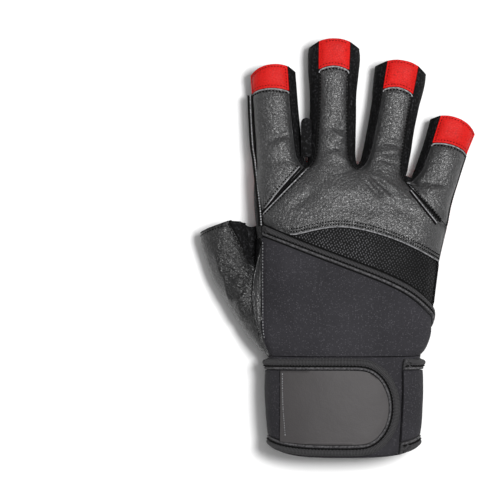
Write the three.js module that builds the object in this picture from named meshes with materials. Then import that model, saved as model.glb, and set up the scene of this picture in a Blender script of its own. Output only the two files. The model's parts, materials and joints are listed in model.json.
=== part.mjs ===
// A right-hand weightlifting glove lying on its palm, hollow for the hand, with open finger ends.
// Millimetres. +Z is up from the floor, the fingers point along +Y and the thumb lies towards -X.
// Every panel lies on one smooth hand form, so a change of a finger or of the wrist carries its panels along.
import * as THREE from 'three';

const { degToRad, radToDeg, lerp, clamp } = THREE.MathUtils;

// Walls and layers
const LEATHER = 1.4;
const STRETCH_CLOTH = 1.2;
const MESH_CLOTH = 1.4;
const SUEDE = 1.5;
const NEOPRENE = 2.4;
const PAD = 2.4;
const STRAP = 2.6;
const BINDING = 3.4;
const VINYL = 0.9;
const WRIST_PATCH = 2.4;
const SEAM_GAP = 0.4;
const LAYER_GAP = 0.3;

// Fingers: length from the knuckle line to the open end, width, and lean from +Y towards +X in degrees
const INDEX_LENGTH = 61;
const INDEX_WIDTH = 27;
const INDEX_LEAN = -4.4;
const MIDDLE_LENGTH = 74;
const MIDDLE_WIDTH = 27.4;
const MIDDLE_LEAN = 1.3;
const RING_LENGTH = 65;
const RING_WIDTH = 27.5;
const RING_LEAN = 10.2;
const LITTLE_LENGTH = 45;
const LITTLE_WIDTH = 25.8;
const LITTLE_LEAN = 18.6;
const FINGER_HEIGHT = 20.5;
const KNUCKLE_GAP = 1.4;
const END_RECESS = 6;

// Thumb
const THUMB_LENGTH = 67;
const THUMB_WIDTH = 28;
const THUMB_HEIGHT = 22;
const THUMB_LEAN = -18;

// Hand and cuff
const PALM_LENGTH = 103;
const PALM_HEIGHT = 34;
const CUFF_LENGTH = 56.5;
const CUFF_WIDTH = 84;
const CUFF_HEIGHT = 34;

// Trim
const TAB_LENGTH = 15.5;
const TAB_BOW = 2.6;
const HEM_LENGTH = 7;
const FINGER_PAD_WIDTH = 19;
const FINGER_PAD_LENGTH = 16.5;
const BINDING_WIDTH = 5.6;
const PIPING_WIDTH = 1.8;
const PULL_TAB_LENGTH = 22;
const PULL_TAB_WIDTH = 6;

// Seams run at these angles above and below a finger's widest line
const BACK_SEAM = 48;
const FRONT_SEAM = -42;
const SIDE_SEAM = 12;

const PALM_FLOOR = PAD + LAYER_GAP;
const CUFF_FLOOR = BINDING + WRIST_PATCH + 3 * LAYER_GAP;
const HAND_WIDTH = INDEX_WIDTH + MIDDLE_WIDTH + RING_WIDTH + LITTLE_WIDTH + 2 * KNUCKLE_GAP;

// How finely the panels are cut
const STRIP_COLUMNS = 4;
const SIDE_COLUMNS = 6;
const HEM_COLUMNS = 9;
const BRANCH_STEPS = 5;
const ARC_STEPS = 6;
const GUSSET_COLUMNS = 3;

// A crotch's back seam climbs this many degrees more than the fingers' own back seams
const STEEPER = 14;

const UP = new THREE.Vector3(0, 0, 1);
const DOWN = new THREE.Vector3(0, 0, -1);
const PAD_ROUNDING = 0.6;
const PAD_LAYER = { wall: PAD - 0.4, lift: LAYER_GAP + PAD, edge: 0.6 };
const CUFF_CURVE = 0.1;
const RING_STEPS = 22;
const PULL_TAB_HEIGHT = 21.5;

// Hand form

// A smooth value between a table's rows, from the column named
function tableValue(rows, column, at) {
  const last = rows.length - 1;
  const x = clamp(at, rows[0].at, rows[last].at);
  const next = rows.findIndex((row) => row.at > x);
  const i = next < 0 ? last - 1 : next - 1;
  const slope = (a, b) => (rows[b][column] - rows[a][column]) / (rows[b].at - rows[a].at);
  const span = rows[i + 1].at - rows[i].at;
  const start = slope(Math.max(i - 1, 0), i + 1) * span;
  const end = slope(i, Math.min(i + 2, last)) * span;
  const t = (x - rows[i].at) / span;
  const rise = rows[i + 1][column] - rows[i][column];
  return rows[i][column] + t * (start + t * (3 * rise - 2 * start - end + t * (start + end - 2 * rise)));
}

function smoothMin(a, b, blend) {
  const h = Math.max(blend - Math.abs(a - b), 0) / blend;
  return Math.min(a, b) - (h * h * blend) / 4;
}

// Negative inside a rounded section that is flatter below than above
const WIDEST_AT = 0.45;
const ROUND_ABOVE = 2.4;
const ROUND_BELOW = 3.2;
function sectionValue(across, z, { half, top, bottom }) {
  const middle = lerp(bottom, top, WIDEST_AT);
  const above = z > middle;
  const rise = above ? (z - middle) / (top - middle) : (middle - z) / (middle - bottom);
  const power = above ? ROUND_ABOVE : ROUND_BELOW;
  const spread = (Math.abs(across) / half) ** power + rise ** power;
  return (spread ** (1 / power) - 1) * Math.min(half, (top - bottom) / 2);
}

// A finger or thumb along a straight line in plan: rows hold shares of its length, width and height
function makeLimb({ name, x, y, lean, length, width, height, tail, rows, floor }) {
  const angle = degToRad(lean);
  const along = new THREE.Vector2(Math.sin(angle), Math.cos(angle));
  const across = new THREE.Vector2(Math.cos(angle), -Math.sin(angle));
  const share = (column, s) => tableValue(rows, column, s / length);
  const section = (s) => ({
    half: share('half', s) * width,
    top: floor + share('top', s) * height,
    bottom: floor + share('lift', s) * height,
  });
  const shift = (s) => share('shift', s) * width;
  const value = (p) => {
    const s = (p.x - x) * along.x + (p.y - y) * along.y;
    const aside = (p.x - x) * across.x + (p.y - y) * across.y;
    if (Math.abs(aside) > 1.3 * width || s < -2 * tail) return width;
    return Math.max(sectionValue(aside - shift(s), p.z, section(s)), -s - tail);
  };
  const axis = (s) => {
    const { top, bottom } = section(s);
    const z = lerp(bottom, top, WIDEST_AT);
    const aside = shift(s);
    return new THREE.Vector3(x + along.x * s + across.x * aside, y + along.y * s + across.y * aside, z);
  };
  return { name, length, along, across, section, value, axis };
}

const FINGER_TAIL = 24;
const fingerRows = (flare) => [
  { at: -0.4, half: 0.49, top: 1.2, lift: 0.02, shift: 0 },
  { at: 0, half: 0.5, top: 1.2, lift: 0, shift: 0 },
  { at: 0.3, half: 0.495, top: 1.08, lift: 0, shift: 0 },
  { at: 0.6, half: 0.49 + 0.1 * (flare - 1), top: 1.0, lift: 0, shift: 0 },
  { at: 0.9, half: 0.5 * flare, top: 1.03, lift: 0, shift: 0 },
  { at: 1.1, half: 0.5 * flare, top: 1.0, lift: 0, shift: 0 },
];
// Roots are set along the knuckle line as shares of the palm, and a finger starts where its neighbour ends
const FINGER_SIZES = [
  { name: 'index', length: INDEX_LENGTH, width: INDEX_WIDTH, lean: INDEX_LEAN, root: 1, flare: 0.97, gaps: 0 },
  { name: 'middle', length: MIDDLE_LENGTH, width: MIDDLE_WIDTH, lean: MIDDLE_LEAN, root: 1.012, flare: 1.1, gaps: 1 },
  { name: 'ring', length: RING_LENGTH, width: RING_WIDTH, lean: RING_LEAN, root: 0.989, flare: 1.09, gaps: 2 },
  { name: 'little', length: LITTLE_LENGTH, width: LITTLE_WIDTH, lean: LITTLE_LEAN, root: 0.886, flare: 1.06, gaps: 2 },
];
const KNUCKLE_START = -0.443 * HAND_WIDTH;
const fingers = FINGER_SIZES.map((size, i) => {
  const before = FINGER_SIZES.slice(0, i).reduce((sum, other) => sum + other.width, 0);
  return makeLimb({
    ...size,
    x: KNUCKLE_START + before + size.width / 2 + size.gaps * KNUCKLE_GAP,
    y: size.root * PALM_LENGTH,
    height: FINGER_HEIGHT,
    tail: FINGER_TAIL,
    floor: PALM_FLOOR,
    rows: fingerRows(size.flare),
  });
});
const [indexFinger, middleFinger, ringFinger, littleFinger] = fingers;

const thumb = makeLimb({
  name: 'thumb',
  x: -0.415 * HAND_WIDTH,
  y: 0.115 * PALM_LENGTH,
  lean: THUMB_LEAN,
  length: THUMB_LENGTH,
  width: THUMB_WIDTH,
  height: THUMB_HEIGHT,
  tail: 8,
  floor: PALM_FLOOR,
  rows: [
    { at: -0.12, half: 0.42, top: 1.3, lift: 0.04, shift: 0.26 },
    { at: 0.07, half: 0.44, top: 1.25, lift: 0.02, shift: 0.17 },
    { at: 0.37, half: 0.42, top: 1.14, lift: 0, shift: -0.03 },
    { at: 0.62, half: 0.42, top: 1.04, lift: 0, shift: -0.135 },
    { at: 0.78, half: 0.445, top: 1.0, lift: 0, shift: -0.118 },
    { at: 0.9, half: 0.485, top: 1.0, lift: 0, shift: -0.078 },
    { at: 1.1, half: 0.53, top: 1.0, lift: 0, shift: -0.03 },
  ],
});

// Sections of the hand from the cuff's end to the knuckles: shares of the cuff's or the palm's own sizes
const CUFF_ROWS = [
  { along: -1.15, half: 0.455, bottom: 0, top: 0.96 },
  { along: -0.75, half: 0.48, bottom: 0, top: 0.99 },
  { along: -0.4, half: 0.497, bottom: 0, top: 1 },
  { along: -0.06, half: 0.5, bottom: 0, top: 1 },
];
const PALM_ROWS = [
  { along: 0.06, left: -0.42, right: 0.425, bottom: 0.03, top: 1.09 },
  { along: 0.15, left: -0.445, right: 0.446, bottom: 0.02, top: 1.1 },
  { along: 0.3, left: -0.45, right: 0.46, bottom: 0, top: 1.1 },
  { along: 0.5, left: -0.45, right: 0.484, bottom: 0, top: 1.07 },
  { along: 0.7, left: -0.447, right: 0.508, bottom: 0, top: 1.0 },
  { along: 0.85, left: -0.444, right: 0.54, bottom: 0, top: 0.9 },
  { along: 1, left: -0.44, right: 0.56, bottom: 0, top: 0.78 },
];
const HAND_SECTIONS = [
  ...CUFF_ROWS.map(({ along, half, bottom, top }) => ({
    at: along * CUFF_LENGTH,
    centre: 0,
    half: half * CUFF_WIDTH,
    bottom: CUFF_FLOOR + bottom * CUFF_HEIGHT,
    top: CUFF_FLOOR + top * CUFF_HEIGHT,
  })),
  ...PALM_ROWS.map(({ along, left, right, bottom, top }) => ({
    at: along * PALM_LENGTH,
    centre: ((left + right) / 2) * HAND_WIDTH,
    half: ((right - left) / 2) * HAND_WIDTH,
    bottom: PALM_FLOOR + bottom * PALM_HEIGHT,
    top: PALM_FLOOR + top * PALM_HEIGHT,
  })),
];
function handSection(y) {
  const value = (column) => tableValue(HAND_SECTIONS, column, y);
  return { centre: value('centre'), half: value('half'), bottom: value('bottom'), top: value('top') };
}
function handAxis(y) {
  const { centre, bottom, top } = handSection(y);
  return new THREE.Vector3(centre, y, lerp(bottom, top, WIDEST_AT));
}

// The palm ends in a rounded front that sets how deep the crotches lie between the fingers
const rootOf = (limb) => limb.axis(0);
const webEdge = (a, b, rise) => ({
  at: (rootOf(a).x + rootOf(b).x) / 2,
  y: (rootOf(a).y + rootOf(b).y) / 2 + rise * PALM_LENGTH,
});
const WEB_EDGE = [
  { at: rootOf(indexFinger).x - INDEX_WIDTH / 2, y: rootOf(indexFinger).y },
  webEdge(indexFinger, middleFinger, 0.03),
  webEdge(middleFinger, ringFinger, 0.02),
  webEdge(ringFinger, littleFinger, 0),
  { at: rootOf(littleFinger).x + LITTLE_WIDTH / 2, y: rootOf(littleFinger).y - 0.1 * PALM_LENGTH },
];
const WEB_ROUNDING = 10;
const FINGER_BLEND = 6;
const THUMB_BLEND = 2.5;
function handValue(p) {
  const { centre, ...section } = handSection(p.y);
  const side = sectionValue(p.x - centre, p.z, section);
  const front = p.y - tableValue(WEB_EDGE, 'y', p.x);
  return -smoothMin(-side, -front, WEB_ROUNDING);
}
function formValue(p) {
  const fingerValue = Math.min(...fingers.map((finger) => finger.value(p)));
  return smoothMin(smoothMin(handValue(p), fingerValue, FINGER_BLEND), thumb.value(p), THUMB_BLEND);
}

// The unit vector out of the form
const PROBE = 0.05;
function formNormal(p) {
  const change = (axis) => {
    const q = p.clone();
    q[axis] += PROBE;
    const ahead = formValue(q);
    q[axis] -= 2 * PROBE;
    return ahead - formValue(q);
  };
  return new THREE.Vector3(change('x'), change('y'), change('z')).normalize();
}

// Where a line from inside the form first leaves it
const STRIDE = 1.5;
function leave(from, towards) {
  const at = (r) => from.clone().addScaledVector(towards, r);
  let outside = STRIDE;
  while (formValue(at(outside)) < 0) outside += STRIDE;
  let inside = outside - STRIDE;
  for (let i = 0; i < 15; i++) {
    const middle = (inside + outside) / 2;
    if (formValue(at(middle)) < 0) inside = middle;
    else outside = middle;
  }
  return at(inside);
}

// A direction turned up from the plan direction across by an angle in degrees
function turned(across, degrees) {
  const angle = degToRad(degrees);
  return new THREE.Vector3(across.x * Math.cos(angle), across.y * Math.cos(angle), Math.sin(angle));
}
const limbPoint = (limb, s, degrees) => leave(limb.axis(s), turned(limb.across, degrees));

// Round the hand: 0 is the little finger's side, 90 the back, 180 the thumb's side and 270 the palm
const RIGHTWARD = new THREE.Vector2(1, 0);
function handPoint(y, degrees) {
  const { half, top, bottom } = handSection(y);
  const angle = degToRad(degrees);
  const target = handAxis(y);
  target.x += Math.cos(angle) * half;
  target.z += (Math.sin(angle) * (top - bottom)) / 2;
  const origin = handAxis(Math.min(y, 0.95 * PALM_LENGTH));
  return leave(origin, target.sub(origin).normalize());
}
// The angle of a point of the hand, the one nearest to the angle named
function handAngle(p, near = 90) {
  const { centre, half, top, bottom } = handSection(p.y);
  const rise = (p.z - handAxis(p.y).z) / ((top - bottom) / 2);
  const degrees = radToDeg(Math.atan2(rise, (p.x - centre) / half));
  return degrees + 360 * Math.round((near - degrees) / 360);
}
// The point of the back or the palm at shares of the hand's width and length
function planPoint(across, along, upwards) {
  const y = along * PALM_LENGTH;
  const from = new THREE.Vector3(across * HAND_WIDTH, y, handAxis(y).z);
  return leave(from, new THREE.Vector3(0, 0, upwards));
}
const backAt = (across, along) => planPoint(across, along, 1);
const palmAt = (across, along) => planPoint(across, along, -1);

// Nets of faces

const steps = (count) => Array.from({ length: count + 1 }, (_, i) => i / count);

// A net of faces that share their points, each facing out of the form
class Net {
  points = [];
  faces = [];
  found = new Map();

  place(p) {
    const key = [p.x, p.y, p.z].map((v) => Math.round(v * 50)).join();
    if (!this.found.has(key)) {
      this.found.set(key, this.points.length);
      this.points.push(p);
    }
    return this.found.get(key);
  }

  // Joins rows of points, one row to the next
  add(rows) {
    const made = [];
    let facing = 0;
    for (let i = 0; i + 1 < rows.length; i++) {
      for (let j = 0; j + 1 < rows[i].length; j++) {
        const corners = [rows[i][j], rows[i][j + 1], rows[i + 1][j + 1], rows[i + 1][j]];
        const face = [...new Set(corners.map((p) => this.place(p)))];
        if (face.length < 3) continue;
        made.push(face);
        const [a, b, c] = face.map((k) => this.points[k]);
        const turn = b.clone().sub(a).cross(c.clone().sub(a));
        facing += Math.sign(turn.dot(formNormal(a)));
      }
    }
    this.faces.push(...(facing < 0 ? made.map((face) => face.reverse()) : made));
    return this;
  }

  // Edges that only one face uses, as a map from each edge's start to its end
  rim() {
    const used = new Set();
    const edges = this.faces.flatMap((face) => face.map((a, i) => [a, face[(i + 1) % face.length]]));
    edges.forEach(([a, b]) => used.add(a + ' ' + b));
    return new Map(edges.filter(([a, b]) => !used.has(b + ' ' + a)));
  }
}

// Gives a net its wall: lift is the outer face's height over the form, and edge the outer face's share of
// the wall at the rim, so that a pad or a roll is lower there. The rim is drawn in by half a seam.
function wallGeometry(net, { lift = 0, wall, edge = 1, seam = SEAM_GAP / 2 }) {
  const rim = net.rim();
  const back = new Map([...rim].map(([a, b]) => [b, a]));
  const normals = net.points.map(formNormal);
  const drawnIn = net.points.map((p, i) => {
    if (!rim.has(i)) return p;
    const inward = (from, to) =>
      normals[i].clone().cross(net.points[to].clone().sub(net.points[from])).normalize();
    const before = inward(back.get(i), i);
    const after = inward(i, rim.get(i));
    const mitre = seam / Math.max(1 + before.dot(after), 0.4);
    return p.clone().addScaledVector(before.add(after), mitre);
  });
  const outer = drawnIn.map((p, i) => {
    const height = rim.has(i) ? lift - wall * (1 - edge) : lift;
    return p.clone().addScaledVector(normals[i], height);
  });
  const inner = drawnIn.map((p, i) => p.clone().addScaledVector(normals[i], lift - wall));
  const count = net.points.length;
  const faces = [
    ...net.faces,
    ...net.faces.map((face) => face.map((i) => i + count).reverse()),
    ...[...rim].map(([a, b]) => [b, a, a + count, b + count]),
  ];
  const index = faces.flatMap((face) => face.slice(2).flatMap((_, i) => [face[0], face[i + 1], face[i + 2]]));
  const geometry = new THREE.BufferGeometry().setFromPoints([...outer, ...inner]);
  geometry.setIndex(index);
  geometry.computeVertexNormals();
  return geometry;
}

// A patch round the hand between four lines that meet at their ends
function handPatch(top, bottom, left, right, near = 90) {
  const sides = [top, bottom, left, right].map((line) => line.map((p) => [handAngle(p, near), p.y]));
  return patchRows([top, bottom, left, right], sides, (degrees, y) => handPoint(y, degrees));
}
// The same on the back, or on the palm, by lines of the plan
function planPatch(lines, upwards = 1) {
  const sides = lines.map((line) => line.map((p) => [p.x, p.y]));
  return patchRows(lines, sides, (x, y) => planPoint(x / HAND_WIDTH, y / PALM_LENGTH, upwards));
}
function patchRows([top, bottom, left, right], [t, b, l, r], place) {
  const rows = left.length - 1;
  const columns = top.length - 1;
  const blend = (i, j, k) => {
    const v = i / rows;
    const u = j / columns;
    const corners = lerp(lerp(t[0][k], t[columns][k], u), lerp(b[0][k], b[columns][k], u), v);
    return lerp(t[j][k], b[j][k], v) + lerp(l[i][k], r[i][k], u) - corners;
  };
  return left.map((_, i) =>
    top.map((_, j) => {
      if (i === 0) return top[j];
      if (i === rows) return bottom[j];
      if (j === 0) return left[i];
      if (j === columns) return right[i];
      return place(blend(i, j, 0), blend(i, j, 1));
    }),
  );
}

// Points on the form along a smooth line through a few points of it
function lineOnHand(through, count, near = 90) {
  const path = new THREE.SplineCurve(through.map((p) => new THREE.Vector2(handAngle(p, near), p.y)));
  return steps(count).map((t, i) => {
    if (i === 0) return through[0];
    if (i === count) return through[through.length - 1];
    const at = path.getPoint(t);
    return handPoint(at.y, at.x);
  });
}

// Finger strips and the gaps between them

const WEB_START = 0.097 * PALM_LENGTH;
const ROOT_AT = 0.6 * WEB_START;
const HAND_SIDE_AT = -0.29;
const SIDE_RISE = 31;
const RIGHT_RISE = 8;

const backSpan = (finger) => ({
  left: finger === indexFinger ? 180 - SIDE_SEAM : 180 - BACK_SEAM,
  right: finger === littleFinger ? SIDE_SEAM : BACK_SEAM,
});
const backAngles = (finger) => {
  const { left, right } = backSpan(finger);
  return steps(SIDE_COLUMNS).map((u) => lerp(left, right, u));
};
// Under a finger, from its left seam to its right one; the outer fingers' fronts reach up their outer sides
const UNDER_LEFT = 180 - FRONT_SEAM;
const UNDER_RIGHT = 360 + FRONT_SEAM;
function frontAngles(finger) {
  const between = (from, to, count) => steps(count).map((u) => lerp(from, to, u));
  if (finger === indexFinger) {
    return [...between(180 - SIDE_SEAM, UNDER_LEFT, 3), ...between(UNDER_LEFT, 360 + FRONT_SEAM, STRIP_COLUMNS).slice(1)];
  }
  if (finger === littleFinger) {
    return [...between(180 - FRONT_SEAM, UNDER_RIGHT, STRIP_COLUMNS), ...between(UNDER_RIGHT, 360 + SIDE_SEAM, 3).slice(1)];
  }
  return between(180 - FRONT_SEAM, 360 + FRONT_SEAM, STRIP_COLUMNS);
}

// The open end is cut back at the sides
const endLine = (limb) => (degrees) => limb.length - END_RECESS * Math.abs(Math.cos(degToRad(degrees))) ** 3;
const hemLine = (limb) => (degrees) => endLine(limb)(degrees) - HEM_LENGTH;
const tabLine = (finger) => (degrees) => {
  const { left, right } = backSpan(finger);
  const aside = (2 * (degrees - left)) / (right - left) - 1;
  const short = finger === indexFinger ? 0.87 : 1;
  return finger.length - short * TAB_LENGTH - TAB_BOW * aside * aside;
};

// Rows of points along a limb between two end lines
function limbRows(limb, angles, rows, low, high) {
  return steps(rows).map((v) =>
    angles.map((degrees) => limbPoint(limb, lerp(low(degrees), high(degrees), v), degrees)),
  );
}

// Lines the gap between two limbs from its front edge to its back edge: up to the crotch, round it and out.
// Each side tells where its rays start and how far below and above them its seams lie.
function gapRows(left, right, focus, centre, steeper = 0) {
  const branch = ({ limb, start, end, low, high, rows }, turn) =>
    steps(rows).map((v) =>
      steps(GUSSET_COLUMNS).map((u) => {
        const rise = lerp(lerp(...low, v), lerp(...high, v), u);
        return limbPoint(limb, lerp(start, end(rise), v), turn ? 180 - rise : rise);
      }),
    );
  const from = left.limb.axis(left.start);
  const to = right.limb.axis(right.start);
  const path = new THREE.QuadraticBezierCurve3(from, bezierControl(from, to, centre), to);
  const arc = steps(ARC_STEPS).slice(1, -1).map((t) => {
    const origin = path.getPoint(t);
    const towards = focus.clone().sub(origin).setZ(0).normalize();
    const extra = steeper * Math.sin(Math.PI * t);
    return steps(GUSSET_COLUMNS).map((u) => {
      const rise = lerp(lerp(left.low[0], right.low[0], t), lerp(left.high[0], right.high[0], t) + extra, u);
      return leave(origin, turned(towards, rise));
    });
  });
  const down = branch(left, false).reverse();
  const up = branch(right, true);
  const rows = [...down, ...arc, ...up];
  const first = down.length - 1;
  const around = rows.slice(first, first + ARC_STEPS + 1);
  return { rows, high: around.map((row) => row[GUSSET_COLUMNS]), low: around.map((row) => row[0]) };
}
function bezierControl(from, to, centre) {
  return centre.clone().multiplyScalar(2).sub(from.clone().add(to).multiplyScalar(0.5));
}

// The gap between two neighbouring fingers
const GAP_DEPTH = 14;
function fingerGap(left, right) {
  const side = (limb) => ({
    limb,
    start: WEB_START,
    end: endLine(limb),
    low: [FRONT_SEAM, FRONT_SEAM],
    high: [BACK_SEAM, BACK_SEAM],
    rows: BRANCH_STEPS,
  });
  const from = left.axis(WEB_START);
  const to = right.axis(WEB_START);
  const focus = from.clone().add(to).multiplyScalar(0.5);
  const inward = new THREE.Vector3(to.y - from.y, from.x - to.x, 0).normalize();
  return gapRows(side(left), side(right), focus, focus.clone().addScaledVector(inward, GAP_DEPTH), STEEPER);
}
const gaps = [
  fingerGap(indexFinger, middleFinger),
  fingerGap(middleFinger, ringFinger),
  fingerGap(ringFinger, littleFinger),
];

// The hand's thumb side, as a line of starting points for rays
const handSide = {
  axis: (y) => new THREE.Vector3(HAND_SIDE_AT * HAND_WIDTH, y, handAxis(y).z),
  across: RIGHTWARD,
};
const thumbSideAt = (along, rise = SIDE_RISE) => limbPoint(handSide, along * PALM_LENGTH, 180 - rise);
const sideSeamAt = (along) => backAt(-0.42 + 0.042 * Math.max(0, 1 - along / 0.12) ** 2, along);
const rightSideAt = (along) => handPoint(along * PALM_LENGTH, RIGHT_RISE);
const inHand = (across, along) => {
  const y = along * PALM_LENGTH;
  return new THREE.Vector3(across * HAND_WIDTH, y, handAxis(y).z);
};
const GAP_SIDE = 0.605;
const GAP_TOP = 0.64;
const thumbGap = gapRows(
  { limb: thumb, start: 0.72 * THUMB_LENGTH, end: endLine(thumb), low: [-38, -30], high: [44, 75], rows: 4 },
  {
    limb: handSide,
    start: GAP_SIDE * PALM_LENGTH,
    end: () => GAP_TOP * PALM_LENGTH,
    low: [-42, -42],
    high: [SIDE_RISE, SIDE_RISE],
    rows: 1,
  },
  inHand(-0.462, 0.595),
  inHand(-0.445, 0.43),
  -6,
);

// Seam lines of the back, from the thumb's side to the little finger's

const halfway = ARC_STEPS / 2;
const indexSeam = (s) => limbPoint(indexFinger, s, backSpan(indexFinger).left);
const littleSeam = (s) => limbPoint(littleFinger, s, backSpan(littleFinger).right);
const THUMB_CORNER = 0.772;
const LITTLE_CORNER = 0.7;
const thumbCorner = sideSeamAt(THUMB_CORNER);
const littleCorner = rightSideAt(LITTLE_CORNER);

// A line across the back, or the palm, through points given as shares of the hand
function lineInPlan(through, count, upwards = 1) {
  const path = new THREE.SplineCurve(through.map((p) => new THREE.Vector2(p.x, p.y)));
  return steps(count).map((t, i) => {
    if (i === 0) return through[0];
    if (i === count) return through[through.length - 1];
    const at = path.getPoint(t);
    return planPoint(at.x / HAND_WIDTH, at.y / PALM_LENGTH, upwards);
  });
}
const along = (table, place) => table.map((row) => place(row.across, row.along));

const indexDiagonal = lineInPlan([thumbCorner, gaps[0].high[halfway]], SIDE_COLUMNS);
const littleDiagonal = lineInPlan([gaps[2].high[halfway], littleCorner], SIDE_COLUMNS);

// The leather's hem over the mesh, and both edges of the diagonal binding
const HEM_ARC = [
  { across: -0.265, along: 0.65 },
  { across: -0.17, along: 0.678 },
  { across: -0.035, along: 0.703 },
  { across: 0.1, along: 0.683 },
  { across: 0.237, along: 0.64 },
  { across: 0.373, along: 0.577 },
];
const BINDING_TOP = [
  { across: -0.265, along: 0.65 },
  { across: -0.125, along: 0.591 },
  { across: 0.056, along: 0.518 },
  { across: 0.237, along: 0.441 },
  { across: 0.373, along: 0.363 },
];
const PALM_BINDING_TOP = [
  { across: 0.44, along: 0.212 },
  { across: 0.328, along: 0.155 },
  { across: 0.163, along: 0.082 },
  { across: -0.012, along: 0 },
];
// A table's line drawn again at a distance to its left
function beside(table, distance) {
  return table.map((row, i) => {
    const before = table[Math.max(i - 1, 0)];
    const after = table[Math.min(i + 1, table.length - 1)];
    const x = (after.across - before.across) * HAND_WIDTH;
    const y = (after.along - before.along) * PALM_LENGTH;
    const share = distance / Math.hypot(x, y);
    return { across: row.across - (y * share) / HAND_WIDTH, along: row.along + (x * share) / PALM_LENGTH };
  });
}
// Below the wrist line the binding's lower edge ends where that line cuts it
function palmBindingBottom() {
  const rows = beside(PALM_BINDING_TOP, BINDING_WIDTH);
  const [before, last] = rows.slice(-2);
  const reach = before.along / (before.along - last.along);
  return [...rows.slice(0, -1), { across: lerp(before.across, last.across, reach), along: 0 }];
}
const ROUND_THE_SIDE = 60;
const ROUND_THE_PALM = 259;
const hemEnd = rightSideAt(0.509);
const hemArc = lineInPlan([...along(HEM_ARC, backAt), hemEnd], HEM_COLUMNS);
const BINDING_DROP = BINDING_WIDTH / PALM_LENGTH;
function bindingEdge(start, across, turnAt, palm) {
  const back = along(across, backAt);
  return [
    ...lineInPlan([start, back[0]], 3).slice(0, -1),
    ...lineInPlan([...back, turnAt], HEM_COLUMNS).slice(0, -1),
    ...lineOnHand([turnAt, ...along(palm, palmAt)], 8, ROUND_THE_SIDE),
  ];
}
const bindingTop = bindingEdge(sideSeamAt(0.722), BINDING_TOP, rightSideAt(0.275), PALM_BINDING_TOP);
const bindingBottom = bindingEdge(
  sideSeamAt(0.722 - 1.23 * BINDING_DROP),
  beside(BINDING_TOP, -BINDING_WIDTH),
  rightSideAt(0.275 - 1.15 * BINDING_DROP),
  palmBindingBottom(),
);
const bindingEnd = bindingTop.length - 1;

// Where the thumb's leather folds onto the back of the hand
const CREASE = [
  { across: -0.462, along: 0.42 },
  { across: -0.469, along: 0.33 },
  { across: -0.462, along: 0.24 },
  { across: -0.446, along: 0.15 },
  { across: -0.424, along: 0.065 },
];
const crease = [thumbGap.high[halfway], ...along(CREASE, backAt), thumbSideAt(0, 14)];
const THUMB_BRANCH = 4;
const thumbBackEdge = [...thumbGap.rows.slice(0, THUMB_BRANCH + halfway).map((row) => row[GUSSET_COLUMNS]), ...crease];

// Under the thumb its leather ends along a line to the wrist
const UNDER_THUMB = 218;
const thumbPalmSeam = thumbBackEdge.map((_, i) => {
  const v = i / (thumbBackEdge.length - 1);
  if (v === 1) return thumbSideAt(0, -34);
  return limbPoint(thumb, lerp(endLine(thumb)(UNDER_THUMB), 0.02 * THUMB_LENGTH, v), UNDER_THUMB);
});

// The line on the palm between the thumb's panel and the red base
const THUMB_PANEL_EDGE = [
  { across: -0.279, along: 0.598 },
  { across: -0.197, along: 0.5 },
  { across: -0.147, along: 0.356 },
  { across: -0.137, along: 0.225 },
  { across: -0.152, along: 0.103 },
  { across: -0.185, along: 0 },
];

const palmJoint = thumbGap.rows[thumbGap.rows.length - 1];
const panelSteps = thumbBackEdge.length - 1 - THUMB_BRANCH - halfway;
const thumbPanelEdge = lineInPlan([palmJoint[0], ...along(THUMB_PANEL_EDGE, palmAt)], panelSteps, -1);

// Rows of points between two seam lines, seen from inside the form halfway between them, that pass a direction
function fanRows(from, to, columns, through, height) {
  const swing = (a, b, t) => {
    const whole = new THREE.Quaternion().setFromUnitVectors(a, b);
    return a.clone().applyQuaternion(new THREE.Quaternion().slerp(whole, t));
  };
  const middle = through.clone().normalize();
  return from.map((a, k) => {
    const b = to[k];
    const origin = a.clone().add(b).multiplyScalar(0.5);
    origin.z = height;
    const start = a.clone().sub(origin).normalize();
    const end = b.clone().sub(origin).normalize();
    return steps(columns).map((t, i) => {
      if (i === 0) return a;
      if (i === columns) return b;
      return leave(origin, t < 0.5 ? swing(start, middle, 2 * t) : swing(middle, end, 2 * t - 1));
    });
  });
}

// Rows of points between two lines of the plan, and round a centre out to a closed outline
const samplesOf = (table, count, closed) => {
  const points = table.map((row) => new THREE.Vector3(row.across, row.along, 0));
  return new THREE.CatmullRomCurve3(points, closed, 'centripetal').getPoints(count);
};
const bandRows = (from, to, columns, rows, place) => {
  const a = samplesOf(from, columns, false);
  const b = samplesOf(to, columns, false);
  return steps(rows).map((v) => a.map((p, k) => place(lerp(p.x, b[k].x, v), lerp(p.y, b[k].y, v))));
};
function discRows(outline, centre, rings, place, count = 16) {
  const edge = samplesOf(outline, count, true);
  edge[count] = edge[0];
  return rings.map(([across, up]) =>
    edge.map((p) => place(lerp(centre.across, p.x, across), lerp(centre.along, p.y, up))),
  );
}
const FULL_RINGS = [0, 0.55, 1].map((share) => [share, share]);

const pieces = [];
function addPiece(name, nets, options) {
  const net = nets.reduce((whole, rows) => whole.add(rows), new Net());
  const mesh = new THREE.Mesh(wallGeometry(net, options), new THREE.MeshStandardMaterial());
  mesh.name = name;
  pieces.push(mesh);
}

// Back of the fingers

const stripRows = fingers.map((finger) =>
  limbRows(finger, backAngles(finger), 4, () => WEB_START, tabLine(finger)),
);
for (const finger of fingers) {
  const rows = limbRows(finger, backAngles(finger), 2, tabLine(finger), endLine(finger));
  addPiece(finger.name + '_tab', [rows], { wall: LEATHER });
}

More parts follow.
